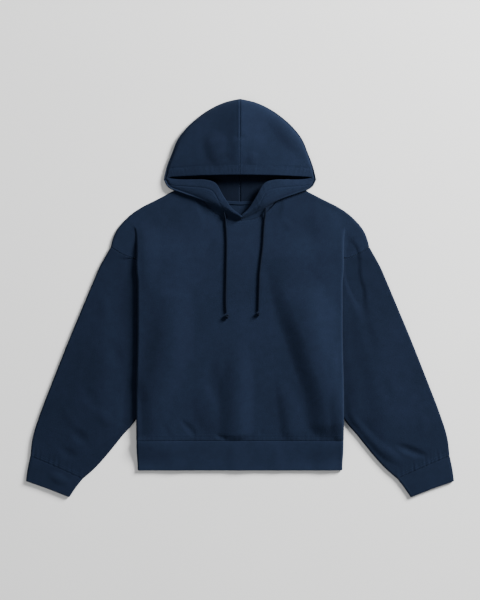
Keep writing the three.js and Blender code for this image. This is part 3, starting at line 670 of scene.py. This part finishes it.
def panel_grid(front, columns, shares):
    neckline = FRONT_NECK if front else BACK_NECK
    insets = np.array(FOLD_INSETS[::-1])
    grid, thick = [], []
    for column in columns:
        top_x = abs(float(column_x(column, STEP_TOP)))
        top = float(top_edge(top_x, neckline))
        on_neck = top_x < NECK_HALF
        lean = 1.0 if on_neck else math.hypot(1, float(shoulder_line(top_x + 12) - shoulder_line(top_x)) / 12)
        full = top - HEM_SEAM_Y - SEAM_GAP
        y = np.concatenate([top - full * (1 - shares), top - insets * lean])
        edge = side_edge(y)
        x = column_x(column, edge)
        low, high = back_middle(x, y), front_middle(x, y)
        seam = (low + high) / 2 + (SEAM_GAP / 2 if front else -SEAM_GAP / 2)
        level = high if front else low
        is_side = smooth((ARMHOLE_Y - 1 - y) / 6)
        inset = edge - np.abs(x)
        side_fold = mix(seam, level, quarter_turn(inset, FOLD_R))
        foot = level
        if front:
            foot = np.minimum(level, np.maximum(FLOOR + WALL + EDGE_AIR, low + WALL + CLEAR))
        z = mix(mix(foot, level, quarter_turn(inset, FOLD_R)), side_fold, is_side)
        below = (top - y) / lean
        if not on_neck:
            z = mix(seam, z, quarter_turn(below, FOLD_R))
        grid.append(np.column_stack([x, y, z]))
        seamed = edge_thickness(y - HEM_SEAM_Y - SEAM_GAP)
        thick.append(seamed * (edge_thickness(below) if on_neck else 1))
    return np.stack(grid, axis=1), np.stack(thick, axis=1)


def extension(surface, grid, side, front, row, step_count):
    """The drop shoulder beyond the body's side edge, out to the armhole seam."""
    strip = grid[row:, 0 if side < 0 else -1]
    start, end = strip[0, 1], strip[-1, 1]
    t = (strip[:, 1] - start) / (end - start)
    seam_points = even(ARMHOLE, ARMHOLE_SHOWN * (1 - t))
    insets = np.array(FOLD_INSETS[::-1])
    below = np.full(len(strip), float(FOLD_R))
    below[-len(insets):] = insets
    shares = np.concatenate([np.linspace(0, 0.93, step_count), [0.955, 0.975, 0.99, 1]])
    columns, thick = [], []
    for share in shares:
        if share == 0:
            columns.append(strip)
            thick.append(np.ones(len(strip)))
            continue
        bulge = SHOULDER_BULGE * math.sin(math.pi * share) * t**3
        x = side * (mix(np.abs(strip[:, 0]), seam_points[:, 0], share) + bulge)
        y = mix(strip[:, 1], seam_points[:, 1], share) + bulge * 0.5
        air = mix(SEAM_AIR, EDGE_AIR, smooth((1 - t) * 2))
        folds = fold_sum(x, y, FOLDS) * smooth((1 - t) * 2.5 - 0.5)
        high = FLOOR + WALL + np.maximum(CLEAR, air + folds)
        seam = (FLOOR + high) / 2 + (SEAM_GAP / 2 if front else -SEAM_GAP / 2)
        z = mix(seam, high if front else FLOOR, quarter_turn(below, FOLD_R))
        columns.append(np.column_stack([x, y, z]))
        reach = np.hypot(seam_points[:, 0] - np.abs(strip[:, 0]), seam_points[:, 1] - strip[:, 1])
        thick.append(edge_thickness((1 - share) * reach))
    points = np.stack(columns, axis=1)
    across = np.zeros_like(points)
    across[:, -1] = (side * ARMHOLE_ACROSS[0], ARMHOLE_ACROSS[1], 0)
    across[-1, 1:] = UP
    if side < 0:
        points, across = points[:, ::-1], across[:, ::-1]
        thick = thick[::-1]
    surface.add(points, across, thick=np.stack(thick, axis=1))


def body_panel(front, outer, neck, rows, steps):
    surface = Surface()
    columns = body_columns(outer, neck)
    near = np.array(EDGE_STEPS) / PANEL_LENGTH
    rest = np.linspace(0.011, 0.984, rows)
    row = int(np.argmin(np.abs(rest - ARMHOLE_SHARE)))
    rest[row] = ARMHOLE_SHARE
    shares = np.concatenate([near, rest])
    row += len(near)
    grid, thick = panel_grid(front, columns, shares)
    across = np.zeros_like(grid)
    second = np.zeros_like(grid)
    across[:row + 1, [0, -1]] = UP
    second[0, :] = NORTH
    for k, column in enumerate(columns):
        on_neck = abs(float(column_x(column, STEP_TOP))) < NECK_HALF
        across[-1, k] = NORTH if on_neck else UP
    surface.add(grid, across, second, thick)
    for side in (-1, 1):
        extension(surface, grid, side, front, row, steps)
    return surface


# Waist band: a flattened tube whose ribs run up and down
RIB_PITCH = 2.3
RIB_DEPTH = 0.13                # share of the wall
RIB_POINTS = 8                  # points to a rib
BAND_HALF = 250


def hem_band():
    surface = Surface()
    unit = np.linspace(-1, 1, RIB_POINTS * int(BAND_HALF / RIB_PITCH))
    near = np.array(EDGE_STEPS) / (HEM_SEAM_Y - HEM_BOTTOM_Y)
    shares = np.concatenate([near, np.linspace(0.07, 0.93, 10), 1 - near[::-1]])
    rows, thick = [], []
    for share in shares:
        y = mix(HEM_SEAM_Y, HEM_BOTTOM_Y, share)
        edge = float(side_edge(y))
        x = unit * (edge - 0.01)
        seam_level = front_middle(x, np.full_like(x, HEM_SEAM_Y), gathered=False)
        own = FLOOR + WALL + EDGE_AIR + fold_sum(x, np.full_like(x, y), HEM_FOLDS)
        high = mix(seam_level, own, smooth(share * 1.2))
        middle = (FLOOR + high) / 2
        turn = quarter_turn(edge - np.abs(x), FOLD_R)
        upper = np.column_stack([x, np.full_like(x, y), mix(middle, high, turn)])
        lower = np.column_stack([x, np.full_like(x, y), mix(middle, FLOOR, turn)])[::-1]
        rows.append(np.vstack([upper, lower[1:-1]]))
        ring = np.concatenate([x, x[::-1][1:-1]])
        ribs = 1 - RIB_DEPTH + RIB_DEPTH * np.cos(2 * math.pi * ring / RIB_PITCH)
        distance = min(share, 1 - share) * (HEM_SEAM_Y - HEM_BOTTOM_Y)
        thick.append(ribs * float(edge_thickness(distance)))
    points = np.stack(rows)
    across = np.zeros_like(points)
    across[[0, -1]] = NORTH
    surface.add(points, across, thick=np.stack(thick), closed=True, flip=True)
    return surface


# Sleeves and cuffs, drawn for the right of the picture
SLEEVE_OUTER = [SHOULDER_TIP, (336, 73), (349, 43), (378, -26), (406, -93), (446, -194), (480, -283),
                (496, -335), (501.5, -378.5)]
SLEEVE_INNER = [(197, -5), (206, -68), (217, -140), (230, -210), (247, -283), (286, -333), (325, -381),
                (350, -408), (378, -432.5)]
CUFF_SEAM = [(501.5, -378.5), (440, -404.5), (378, -432.5)]
CUFF_END = [(512, -439), (461, -457), (410, -477)]
# The sleeve's own start tucks in under the body's edge
SLEEVE_START = [SHOULDER_TIP, (284, 106), (270, 100), (258, 96.2), (247.5, 94), (243.5, 80), (239, 62),
                (227, 26), (197, -5)]
SLEEVE_R = 3
# The air in a sleeve grows from its outer and its inner fold, away from the body and above the cuff
SLEEVE_AIR = Sizes(rise=6.2, least=0.6, outer=0.75, inner=0.22, body=10, body_reach=95, cuff_y=-430,
                   cuff_reach=170, folds=20)
# Where the sleeve dives under the body's side edge: start, and its reach at the armhole and at the waist
DIVE = Sizes(start=3, upper=14, lower=36, upper_y=40, drop=60)
SLEEVE_PLAN = Sizes(length=530, width=150)
CUFF_PLAN = Sizes(length=60, width=134)
CUFF_ACROSS = across_seam(CUFF_SEAM[0], CUFF_SEAM[2])
CUFF_END_ACROSS = across_seam(CUFF_END[0], CUFF_END[2])
SLEEVE_GAP, CUFF_GAP = 0.2, 0.25


def patch(outer, inner, start, end, u, v):
    """Fills the space between four plan curves; u across, v along."""
    o, i = even(outer, v)[:, None, :], even(inner, v)[:, None, :]
    s, e = even(start, u)[None, :, :], even(end, u)[None, :, :]
    s0, s1 = even(start, [0, 1])
    e0, e1 = even(end, [0, 1])
    u, v = u[None, :, None], v[:, None, None]
    point = o * (1 - u) + i * u + s * (1 - v) + e * v
    return point - s0 * (1 - u) * (1 - v) - s1 * u * (1 - v) - e0 * (1 - u) * v - e1 * u * v


def sleeve_top(x, y, width, outer_inset):
    air, dive = SLEEVE_AIR, DIVE
    share = np.clip(outer_inset / width, 0, 1)
    outward = np.abs(x) - side_edge(y)
    clear = np.where(y < ARMHOLE_Y, smooth((outward - air.body) / air.body_reach), 1)
    across = smooth(share / air.outer) * smooth((1 - share) / air.inner)
    lift = air.rise * across * clear * smooth((y - air.cuff_y) / air.cuff_reach)
    folds = fold_sum(x, y, FOLDS) + fold_sum(x, y, FINE)
    near_fold = smooth(np.minimum(outer_inset, width - outer_inset) / air.folds)
    opened = FLOOR + WALL + np.maximum(CLEAR, SEAM_AIR + air.least + lift + folds * near_fold)
    reach = mix(dive.upper, dive.lower, smooth((dive.upper_y - y) / dive.drop))
    under = np.where(y < ARMHOLE_Y + 6, 1 - smooth((outward - dive.start) / reach), 0)
    return mix(opened, np.minimum(opened, STRIP_TOP), under)


def flat_tube(curves, v, u, side, start_across, end_across, gap, rib_pitch=None, gather=0.0):
    """A flattened tube between four plan curves, open at both ends, a gap away from its start."""
    surface = Surface()
    plan = patch(*curves, u, v)
    step = np.array(start_across[:2], float)
    plan[0] -= step * gap / np.linalg.norm(step)
    width = np.linalg.norm(plan[:, -1] - plan[:, 0], axis=1)[:, None]
    inset = u[None, :] * width
    x, y = side * plan[..., 0], plan[..., 1]
    top = sleeve_top(x, y, width, inset)
    turn = quarter_turn(np.minimum(inset, width - inset), SLEEVE_R)
    from_end = (1 - v[:, None]) * np.linalg.norm(plan[-1, 0] - plan[0, 0])
    top = top + gather * pucker(from_end, inset, 5.1 + side, CUFF_GATHER, CUFF_GATHER_REACH) * turn
    middle = (FLOOR + top) / 2
    upper = np.stack([x, y, mix(middle, top, turn)], axis=-1)
    lower = np.stack([x, y, mix(middle, FLOOR, turn)], axis=-1)[:, ::-1][:, 1:-1]
    points = np.concatenate([upper, lower], axis=1)
    along = v * (np.linalg.norm(plan[-1, 0] - plan[0, 0]))
    thick = edge_thickness(np.minimum(along, along[-1] - along))[:, None] * np.ones((1, points.shape[1]))
    if rib_pitch:
        ring = np.concatenate([u, u[::-1][1:-1]]) * width[0, 0]
        thick = thick * (1 - RIB_DEPTH + RIB_DEPTH * np.cos(2 * math.pi * ring / rib_pitch))[None, :]
    across = np.zeros_like(points)
    across[0] = (side * start_across[0], start_across[1], 0)
    across[-1] = (side * end_across[0], end_across[1], 0)
    surface.add(points, across, thick=thick, closed=True, flip=side < 0)
    return surface


def seam_rows(length, count):
    near = np.array(EDGE_STEPS) / length
    return np.concatenate([near, np.linspace(4.5 / length, 1 - 4.5 / length, count), 1 - near[::-1]])


def fold_columns(width, count):
    near = np.array([0, 0.25, 0.7, 1.3, 2.1, 3]) / width
    return np.concatenate([near, np.linspace(6 / width, 1 - 6 / width, count), 1 - near[::-1]])


def sleeve(side):
    curves = (SLEEVE_OUTER, SLEEVE_INNER, SLEEVE_START, CUFF_SEAM)
    rows, columns = seam_rows(SLEEVE_PLAN.length, 140), fold_columns(SLEEVE_PLAN.width, 60)
    return flat_tube(curves, rows, columns, side, ARMHOLE_ACROSS, CUFF_ACROSS, SLEEVE_GAP, gather=1.0)


def cuff(side):
    outer = [CUFF_SEAM[0], (508, -410), CUFF_END[0]]
    inner = [CUFF_SEAM[2], (396, -456), CUFF_END[2]]
    curves = (outer, inner, CUFF_SEAM, CUFF_END)
    rows, columns = seam_rows(CUFF_PLAN.length, 14), fold_columns(CUFF_PLAN.width, 230)
    return flat_tube(curves, rows, columns, side, CUFF_ACROSS, CUFF_END_ACROSS, CUFF_GAP, RIB_PITCH)


# Hood halves, drawn for the right of the picture; a row runs from the face edge over the fold and under
# Rest starts with the upper layer's height midway. Then come, on the crown, the neck seam's place and bend,
# and on the flap, the lower layer's heights behind the fold and at the neck.
Crown = namedtuple("Crown", "face fold rest turn")
Flap = namedtuple("Flap", "face fold rest neck")
CROWN = [
    Crown((0, 294, 20), (0, 476.2, 6.5), (19, 469, 0), 0),
    Crown((24, 294, 20), (38, 467, 7), (19, 440, 0), 20),
    Crown((55, 293.6, 19.5), (77, 448, 7.2), (18.5, 402, 0.05), 42),
    Crown((90, 293, 18.5), (119, 415, 7.2), (17.5, 358, 0.15), 66),
    Crown((122, 292, 16.5), (147, 381, 7), (16, 318, 0.32), 84),
    Crown((148, 291, 14.5), (162, 346, 6.8), (14.5, 282, 0.55), 95),
    Crown((164, 290, 12.5), (174, 314, 6.5), (12.5, 251, 0.8), 102),
    Crown((171.5, 287.5, 11), (181.5, 284, 6), (11, 228, 1), 106),
]
FLAP = [
    Flap((171.5, 287.5, 11), (181.5, 284, 6), (11, 1.3, 1.3), (106, 284)),
    Flap((150, 284.5, 12), (171, 266, 9.5), (13.2, 5.5, 8), (105.5, 279)),
    Flap((115, 283.5, 14), (138, 252, 12.4), (16, 8.6, 8), (102, 266)),
    Flap((84, 283, 16), (101, 239, 13.6), (17.5, 8.8, 8), (94.5, 248)),
    Flap((59, 275, 17), (74, 227, 14.2), (18.4, 9, 6.5), (75.5, 220)),
    Flap((39, 243, 17), (50, 215.5, 14.4), (18, 9, 4.9), (50.5, 198)),
    Flap((20, 216, 16.4), (27, 204.5, 13.8), (16.6, 8.6, 4.9), (25.5, 189.6)),
    Flap((4, 198.5, 15.4), (5, 195, 13), (15, 8.4, 4.9), (2.5, 187)),
]
# The left flap's end lies over the right one's: own last rows
LEFT_TIP = [
    Flap((19, 214.5, 17), (26, 203.5, 14.4), (17.4, 8.6, 4.9), (25.5, 188)),
    Flap((-5, 195.5, 16.2), (-3, 191.5, 13.6), (15.6, 8.4, 5.2), (-2, 185.6)),
]
RIGHT_TIP = [
    Flap((20, 214, 16.4), (27, 204.5, 13.8), (16.6, 8.6, 4.9), (25.5, 188)),
    Flap((-1, 194.5, 15.4), (1, 191, 13), (14.6, 8.2, 4.9), (0, 185.6)),
]
# How far the layers curl before a fold, and how much lower the right flap's end lies, from which share on
HOOD_TURN = 7
CROSS_DROP = Sizes(drop=5.2, start=0.62, reach=0.3)
FACE_LENGTH, CROWN_LENGTH = 330, 170
LAPPED_UP_TO = 0.6              # share of the flap that lies on the front panel
CASING = 21
CASING_GROOVE = Sizes(depth=0.7, half_width=3, wave=0.45)
HOOD_SEAM = 0.02
# The upper layer rises to a ridge along its centre seam, crisp above and soft towards the face edge
HOOD_RIDGE = Sizes(rise=11.2, low=0.55, reach=92, crisp=3, soft=34, start=310, height=80)
HOOD_DOME = Sizes(rise=1.2, shoulder=4.5, half_width=178, height=176, base=300)
HOOD_FOLDS = [
    Fold(3.4, (44, 28), [(-76, 402), (-60, 356), (-42, 308)]),
    Fold(2.2, (30, 28), [(-14, 392), (-10, 352), (-6, 314)]),
    Fold(1.8, 26, [(60, 440), (112, 392), (148, 340)]),
    Fold(1.4, 18, [(26, 352), (30, 334), (30, 314)]),
    Fold(-1.2, 7, [(-19, 380), (0, 383), (19, 381)]),
]
# The centre seam and its topstitching, as place and depth, from this height up
HOOD_LINES = [(0, 0.9), (-8, 0.6)]
HOOD_LINE = Sizes(half_width=3, start=372, reach=16)


def hood_relief(x, y):
    """What the upper layer of the hood rises over its drawn section."""
    ridge, dome, line = HOOD_RIDGE, HOOD_DOME, HOOD_LINE
    up = smooth((y - ridge.start) / ridge.height)
    away = np.sqrt(x**2 + mix(ridge.soft, ridge.crisp, up) ** 2)
    peak = mix(ridge.low, 1, up) * ridge.rise * np.clip(1 - away / ridge.reach, 0, 1) ** 2
    r = np.hypot(x / dome.half_width, (y - dome.base) / dome.height)
    round_top = dome.rise * np.clip(1 - r * r, 0, 1) - dome.shoulder * smooth((r - 0.35) / 0.6)
    seams = 0
    for place, depth in HOOD_LINES:
        seams = seams + depth * np.clip(1 - ((x - place) / line.half_width) ** 2, 0, 1) ** 2
    return peak + round_top + fold_sum(x, y, HOOD_FOLDS) - seams * smooth((y - line.start) / line.reach)


def pulled_in(fold, towards, amount, z):
    direction = np.array(towards[:2]) - np.array(fold[:2])
    length = max(float(np.linalg.norm(direction)), 1e-6)
    step = min(amount, length * 0.45)
    return (*(np.array(fold[:2]) + direction * step / length), z)


def folded_start(face, fold, top, after, under):
    upper = (mix(face[0], fold[0], 0.5), mix(face[1], fold[1], 0.5), top)
    return [tuple(face), upper, pulled_in(fold, face, HOOD_TURN, mix(top, fold[2], 0.16)), tuple(fold),
            pulled_in(fold, after, HOOD_TURN, under)]


def clear_of_body(x, y):
    edge = top_edge(x, FRONT_NECK)
    on_panel = front_middle(x, np.minimum(y, edge)) + WALL + 2 * CLEAR
    return mix(FLOOR, on_panel, smooth((edge + 12 - y) / 6))


# Places on a section, counted in its key points: the upper layer with the fold, and the layer below
UPPER = np.concatenate([[0, 0.006, 0.014, 0.028, 0.05], np.linspace(0.08, 3.5, 62)])
TAIL = np.linspace(3.56, 5, 22)


def section(keys, tail, lies_on_body, s, side):
    """One row of the hood's middle surface, from the face edge over the fold and under."""
    last = len(keys) - 1
    upper = spline(keys, UPPER / last)
    under = spline(keys, TAIL / last)
    lowest = clear_of_body(under[:, 0], under[:, 1]) if lies_on_body else np.full(len(under), FLOOR)
    weight = smooth((TAIL - 3.5) / 0.5)
    under[:, 2] = np.maximum(under[:, 2], mix(under[:, 2], lowest, weight))
    top = UPPER < 3
    x, y = side * upper[top, 0], upper[top, 1]
    fade = smooth((3 - UPPER[top]) / 0.6)
    upper[top, 2] += fade * hood_relief(x, y)
    along = lengths(upper)[top]
    groove = np.clip(1 - ((along - CASING) / CASING_GROOVE.half_width) ** 2, 0, 1) ** 2
    upper[top, 2] -= CASING_GROOVE.depth * groove
    band = smooth(1 - np.abs(along - CASING * 0.6) / CASING)
    waves = ripple(np.full_like(along, s * FACE_LENGTH), 1.7 if side < 0 else 4.1)
    upper[top, 2] += CASING_GROOVE.wave * band * waves
    thick = np.concatenate([edge_thickness(lengths(upper), 0.4), np.ones(len(under) + len(tail))])
    return np.vstack([upper, under, *tail]), thick


def table_curve(table, column, shares):
    return spline([np.atleast_1d(getattr(row, column)) for row in table], shares)


def hood_crown(side, rows):
    """Rows from the centre seam to the face corner, whose lower layer runs back along the neck seam."""
    shares = np.concatenate([[0, 0.0015, 0.004, 0.008], np.linspace(0.014, 1, rows)])
    faces, folds, rest = (table_curve(CROWN, key, shares) for key in ("face", "fold", "rest"))
    turns = table_curve(CROWN, "turn", shares)[:, 0]
    grid, thick = [], []
    for s, face, fold, (top, seam_y, bend), turn_x in zip(shares, faces, folds, rest, turns):
        bend = min(max(bend, 0), 1)
        turn_x = max(0, turn_x)
        tail = [neck_point(turn_x * x, seam_y, bend) for x in np.linspace(1, 0, 26)]
        turn = (turn_x, tail[0][1] + 2 * bend, FLOOR)
        keys = folded_start(face, fold, top, turn, FLOOR) + [turn]
        points, thickness = section(keys, tail[1:], False, s, side)
        grid.append(points)
        thick.append(thickness * float(edge_thickness(s * CROWN_LENGTH, 0.6)))
    return np.stack(grid), np.stack(thick), keys


def neck_point(x, seam_y, bend):
    return x, seam_y + bend * (float(read_table(BACK_NECK, x)) - BACK_NECK[0][1]), FLOOR


def hood_flap(side, first_keys, rows):
    """Rows from the face corner to the crossing, whose lower layer lies on the front panel."""
    shares = np.linspace(0, 1, rows)
    table = FLAP[:-2] + (LEFT_TIP if side < 0 else RIGHT_TIP)
    faces, folds, rest, necks = (table_curve(table, key, shares) for key in ("face", "fold", "rest", "neck"))
    grid, thick = [], []
    for s, face, fold, (top, under, level), neck in zip(shares, faces, folds, rest, necks):
        lower = CROSS_DROP.drop * smooth((s - CROSS_DROP.start) / CROSS_DROP.reach)
        drop = float(lower) if side > 0 else 0.0
        face, fold = face.copy(), fold.copy()
        face[2] -= drop
        fold[2] -= drop * 0.8
        end = (neck[0], neck[1], level)
        keys = folded_start(face, fold, top - drop, end, under - drop * 0.6) + [end]
        points, thickness = section(keys if s else first_keys, [], s < LAPPED_UP_TO, 1 + s * 0.8, side)
        grid.append(points)
        thick.append(thickness)
    return np.stack(grid), np.stack(thick)


def hood_half(side, crown_rows=64, flap_rows=56):
    surface = Surface()
    crown, crown_thick, last_keys = hood_crown(side, crown_rows)
    flap, flap_thick = hood_flap(side, last_keys, flap_rows)
    across = np.zeros_like(crown)
    across[0] = EAST
    across[:, -1] = EAST
    for points, seam, thick in ((crown, across, crown_thick), (flap, None, flap_thick)):
        points[..., 0] = side * (points[..., 0] + HOOD_SEAM / 2)
        surface.add(points, seam, thick=thick, flip=side > 0)
    return surface


TAPE_HALF, TAPE_WIDTH, TAPE_THICK = 60, 8, 1


def neck_tape():
    surface = Surface()
    x = np.linspace(-TAPE_HALF, TAPE_HALF, 61)
    rows = [np.column_stack([x, read_table(BACK_NECK, np.abs(x)) + SEAM_GAP + share * TAPE_WIDTH,
                             np.full_like(x, WALL + SEAM_GAP + TAPE_THICK / 2)])
            for share in np.linspace(-0.5, 0.5, 7)]
    surface.add(np.stack(rows))
    return surface


# Sewing: rows of single stitches laid on a piece
STITCH = Sizes(length=2.5, pitch=3.3, half_width=0.32, height=0.24)


def stitch_shape():
    """One stitch along +X: a low bead, pointed at both ends."""
    points = [(-0.5, 0, 0)]
    for x, size in ((-0.36, 0.8), (0, 1.0), (0.36, 0.8)):
        for angle in np.linspace(0, 2 * math.pi, 6, endpoint=False):
            points.append((x, math.cos(angle) * size, math.sin(angle) * size))
    points.append((0.5, 0, 0))
    faces = [(0, 1 + (k + 1) % 6, 1 + k) for k in range(6)]
    for ring in (1, 7):
        faces += [(ring + k, ring + (k + 1) % 6, ring + 6 + (k + 1) % 6, ring + 6 + k) for k in range(6)]
    faces += [(19, 13 + k, 13 + (k + 1) % 6) for k in range(6)]
    scale = (STITCH.length, STITCH.half_width, STITCH.height)
    return np.array(points) * scale, faces


def surface_finder(*objects):
    """Where a vertical line meets the highest, or from below the lowest, of the objects."""
    bpy.context.view_layer.update()
    graph = bpy.context.evaluated_depsgraph_get()
    trees = [BVHTree.FromObject(o, graph) for o in objects]

    def find(x, y, below):
        start, way = ((x * MM, y * MM, -0.05), (0, 0, 1)) if below else ((x * MM, y * MM, 0.08), (0, 0, -1))
        hits = [tree.ray_cast(Vector(start), Vector(way)) for tree in trees]
        hits = [hit for hit in hits if hit[0] is not None]
        if not hits:
            return None
        spot, normal = min(hits, key=lambda hit: hit[3])[:2]
        if normal.z * (-1 if below else 1) < 0.3:
            return None
        return np.array(spot) / MM, np.array(normal)

    return find


def sewn(name, on, lines, below=False):
    """Stitches along plan lines, as one piece lying on the given objects."""
    find = surface_finder(*on)
    shape, shape_faces = stitch_shape()
    vertices, faces = [], []
    for line in lines:
        line = np.array(line, float)
        total = lengths(line)[-1]
        centres = np.arange(STITCH.pitch / 2, total, STITCH.pitch) / total
        plan, ahead = even_line(line, centres), even_line(line, np.minimum(centres + 0.5 / total, 1))
        for (x, y), (next_x, next_y) in zip(plan, ahead):
            found = find(x, y, below)
            if found is None:
                continue
            spot, normal = found
            along = np.array([next_x - x, next_y - y, 0.0])
            along -= normal * along.dot(normal)
            size = np.linalg.norm(along)
            if size < 1e-6:
                continue
            along /= size
            frame_axes = np.array([along, np.cross(normal, along), normal])
            start = len(vertices)
            vertices.extend(spot + shape @ frame_axes)
            faces.extend(tuple(start + v for v in face) for face in shape_faces)
    return mesh_object(name, vertices, faces, on[0]["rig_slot"], "thread")


def beside(curve, distance):
    """A plan line at a distance to the left of a curve's direction."""
    curve = np.array(curve, float)[:, :2]
    way = np.gradient(curve, axis=0)
    way /= np.linalg.norm(way, axis=1)[:, None]
    return curve + distance * np.column_stack([-way[:, 1], way[:, 0]])


def mirrored(line, side):
    return np.array(line, float) * (side, 1)


# The floor
FLOOR_SIZE, FLOOR_COLOUR, FLOOR_ROUGHNESS = 6.0, (0.80, 0.80, 0.79), 0.85

bpy.ops.mesh.primitive_plane_add(size=FLOOR_SIZE, location=(0, 0, 0))
floor = bpy.context.object
floor.name = "floor"
floor_shader = Shader("pale floor")
floor_shader.colour(FLOOR_COLOUR, floor_shader.ranged(floor_shader.noise(3, 2), 0.99, 1.01))
floor.data.materials.append(floor_shader.finish(FLOOR_ROUGHNESS))

# The pieces
tape = mesh_object("neck_tape_cloth", *neck_tape().wall(TAPE_THICK), "tape")
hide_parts("neck_tape")

made = {}


def lay(node, surface, slot, tone):
    made[node] = mesh_object(f"{node}_cloth", *surface.wall(WALL), slot, tone)
    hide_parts(node)


lay("body_front", body_panel(True, 46, 33, 150, 14), "fleece", "fleece")
lay("body_back", body_panel(False, 24, 16, 80, 8), "fleece", "fleece")
lay("hem_band", hem_band(), "rib", "rib")
for kind, build, slot in (("sleeve", sleeve, "fleece"), ("cuff", cuff, "rib"), ("hood", hood_half, "fleece")):
    for name, side in SIDES.items():
        lay(f"{kind}_{name}", build(side), slot, kind)

# Distances of the twin needle rows from a seam
NEEDLES = (4.4, 9.2)
HEM_NEEDLES = (7.6, 14.6)
HOOD_NEEDLE = 4.2
SEWN_HALF, SEWN_NECK_HALF = 243, 100


def panel_lines(neckline):
    wide = np.linspace(-SEWN_HALF, SEWN_HALF, 80)
    lines = [np.column_stack([wide, np.full_like(wide, HEM_SEAM_Y + d)]) for d in HEM_NEEDLES]
    neck = np.linspace(-SEWN_NECK_HALF, SEWN_NECK_HALF, 90)
    lines += [np.column_stack([neck, read_table(neckline, np.abs(neck)) - d]) for d in NEEDLES]
    armhole = even(ARMHOLE, np.linspace(0.012, ARMHOLE_SHOWN - 0.01, 60))
    for side in (-1, 1):
        lines += [mirrored(beside(armhole, -d), side) for d in NEEDLES]
    return lines


def sleeve_lines(side):
    seam = even(CUFF_SEAM, np.linspace(0.01, 0.99, 60))
    return [mirrored(beside(seam, -d), side) for d in NEEDLES]


def hood_lines(side):
    lines = [[(side * HOOD_NEEDLE, y) for y in np.linspace(300, 470, 60)]]
    crown = table_curve(CROWN, "face", np.linspace(0, 0.93, 60))
    lines.append(mirrored(np.column_stack([crown[:, 0], crown[:, 1] + CASING]), side))
    shares = np.linspace(0.1, 0.96, 60)
    faces, folds = table_curve(FLAP, "face", shares), table_curve(FLAP, "fold", shares)
    lines.append(mirrored(mix(faces, folds, 0.58)[:, :2], side))
    return lines


sewing = {
    "body_front": [sewn("stitches_front", [made["body_front"]], panel_lines(FRONT_NECK))],
    "body_back": [tape, sewn("stitches_back", [made["body_back"]], panel_lines(BACK_NECK), below=True)],
}
for name, side in SIDES.items():
    arm, hood = made[f"sleeve_{name}"], made[f"hood_{name}"]
    sewing[f"sleeve_{name}"] = [sewn(f"stitches_sleeve_{name}", [arm], sleeve_lines(side)),
                                sewn(f"stitches_sleeve_under_{name}", [arm], sleeve_lines(side), below=True)]
    sewing[f"hood_{name}"] = [sewn(f"stitches_hood_{name}", [hood], hood_lines(side))]


# Soft studio light, strongest from the upper right
LIGHTS = {
    "key": {"location": (3.6, 2.87, 2.15), "size": 1.7, "energy": 1040},
    "fill": {"location": (-2.6, -1.4, 3.4), "size": 2.6, "energy": 50},
}
SKY = {"Color": (0.95, 0.97, 1, 1), "Strength": 0.3}


def area_light(name, location, size, energy):
    """A square lamp that faces the middle of the floor."""
    data = bpy.data.lights.new(name, "AREA")
    data.size = size
    data.energy = energy
    lamp = bpy.data.objects.new(name, data)
    lamp.location = location
    lamp.rotation_euler = (-Vector(location)).to_track_quat("-Z", "Y").to_euler()
    bpy.context.scene.collection.objects.link(lamp)


for name, light in LIGHTS.items():
    area_light(name, **light)
world = bpy.data.worlds.new("studio")
bpy.context.scene.world = world
world.use_nodes = True
for key, value in SKY.items():
    world.node_tree.nodes["Background"].inputs[key].default_value = value
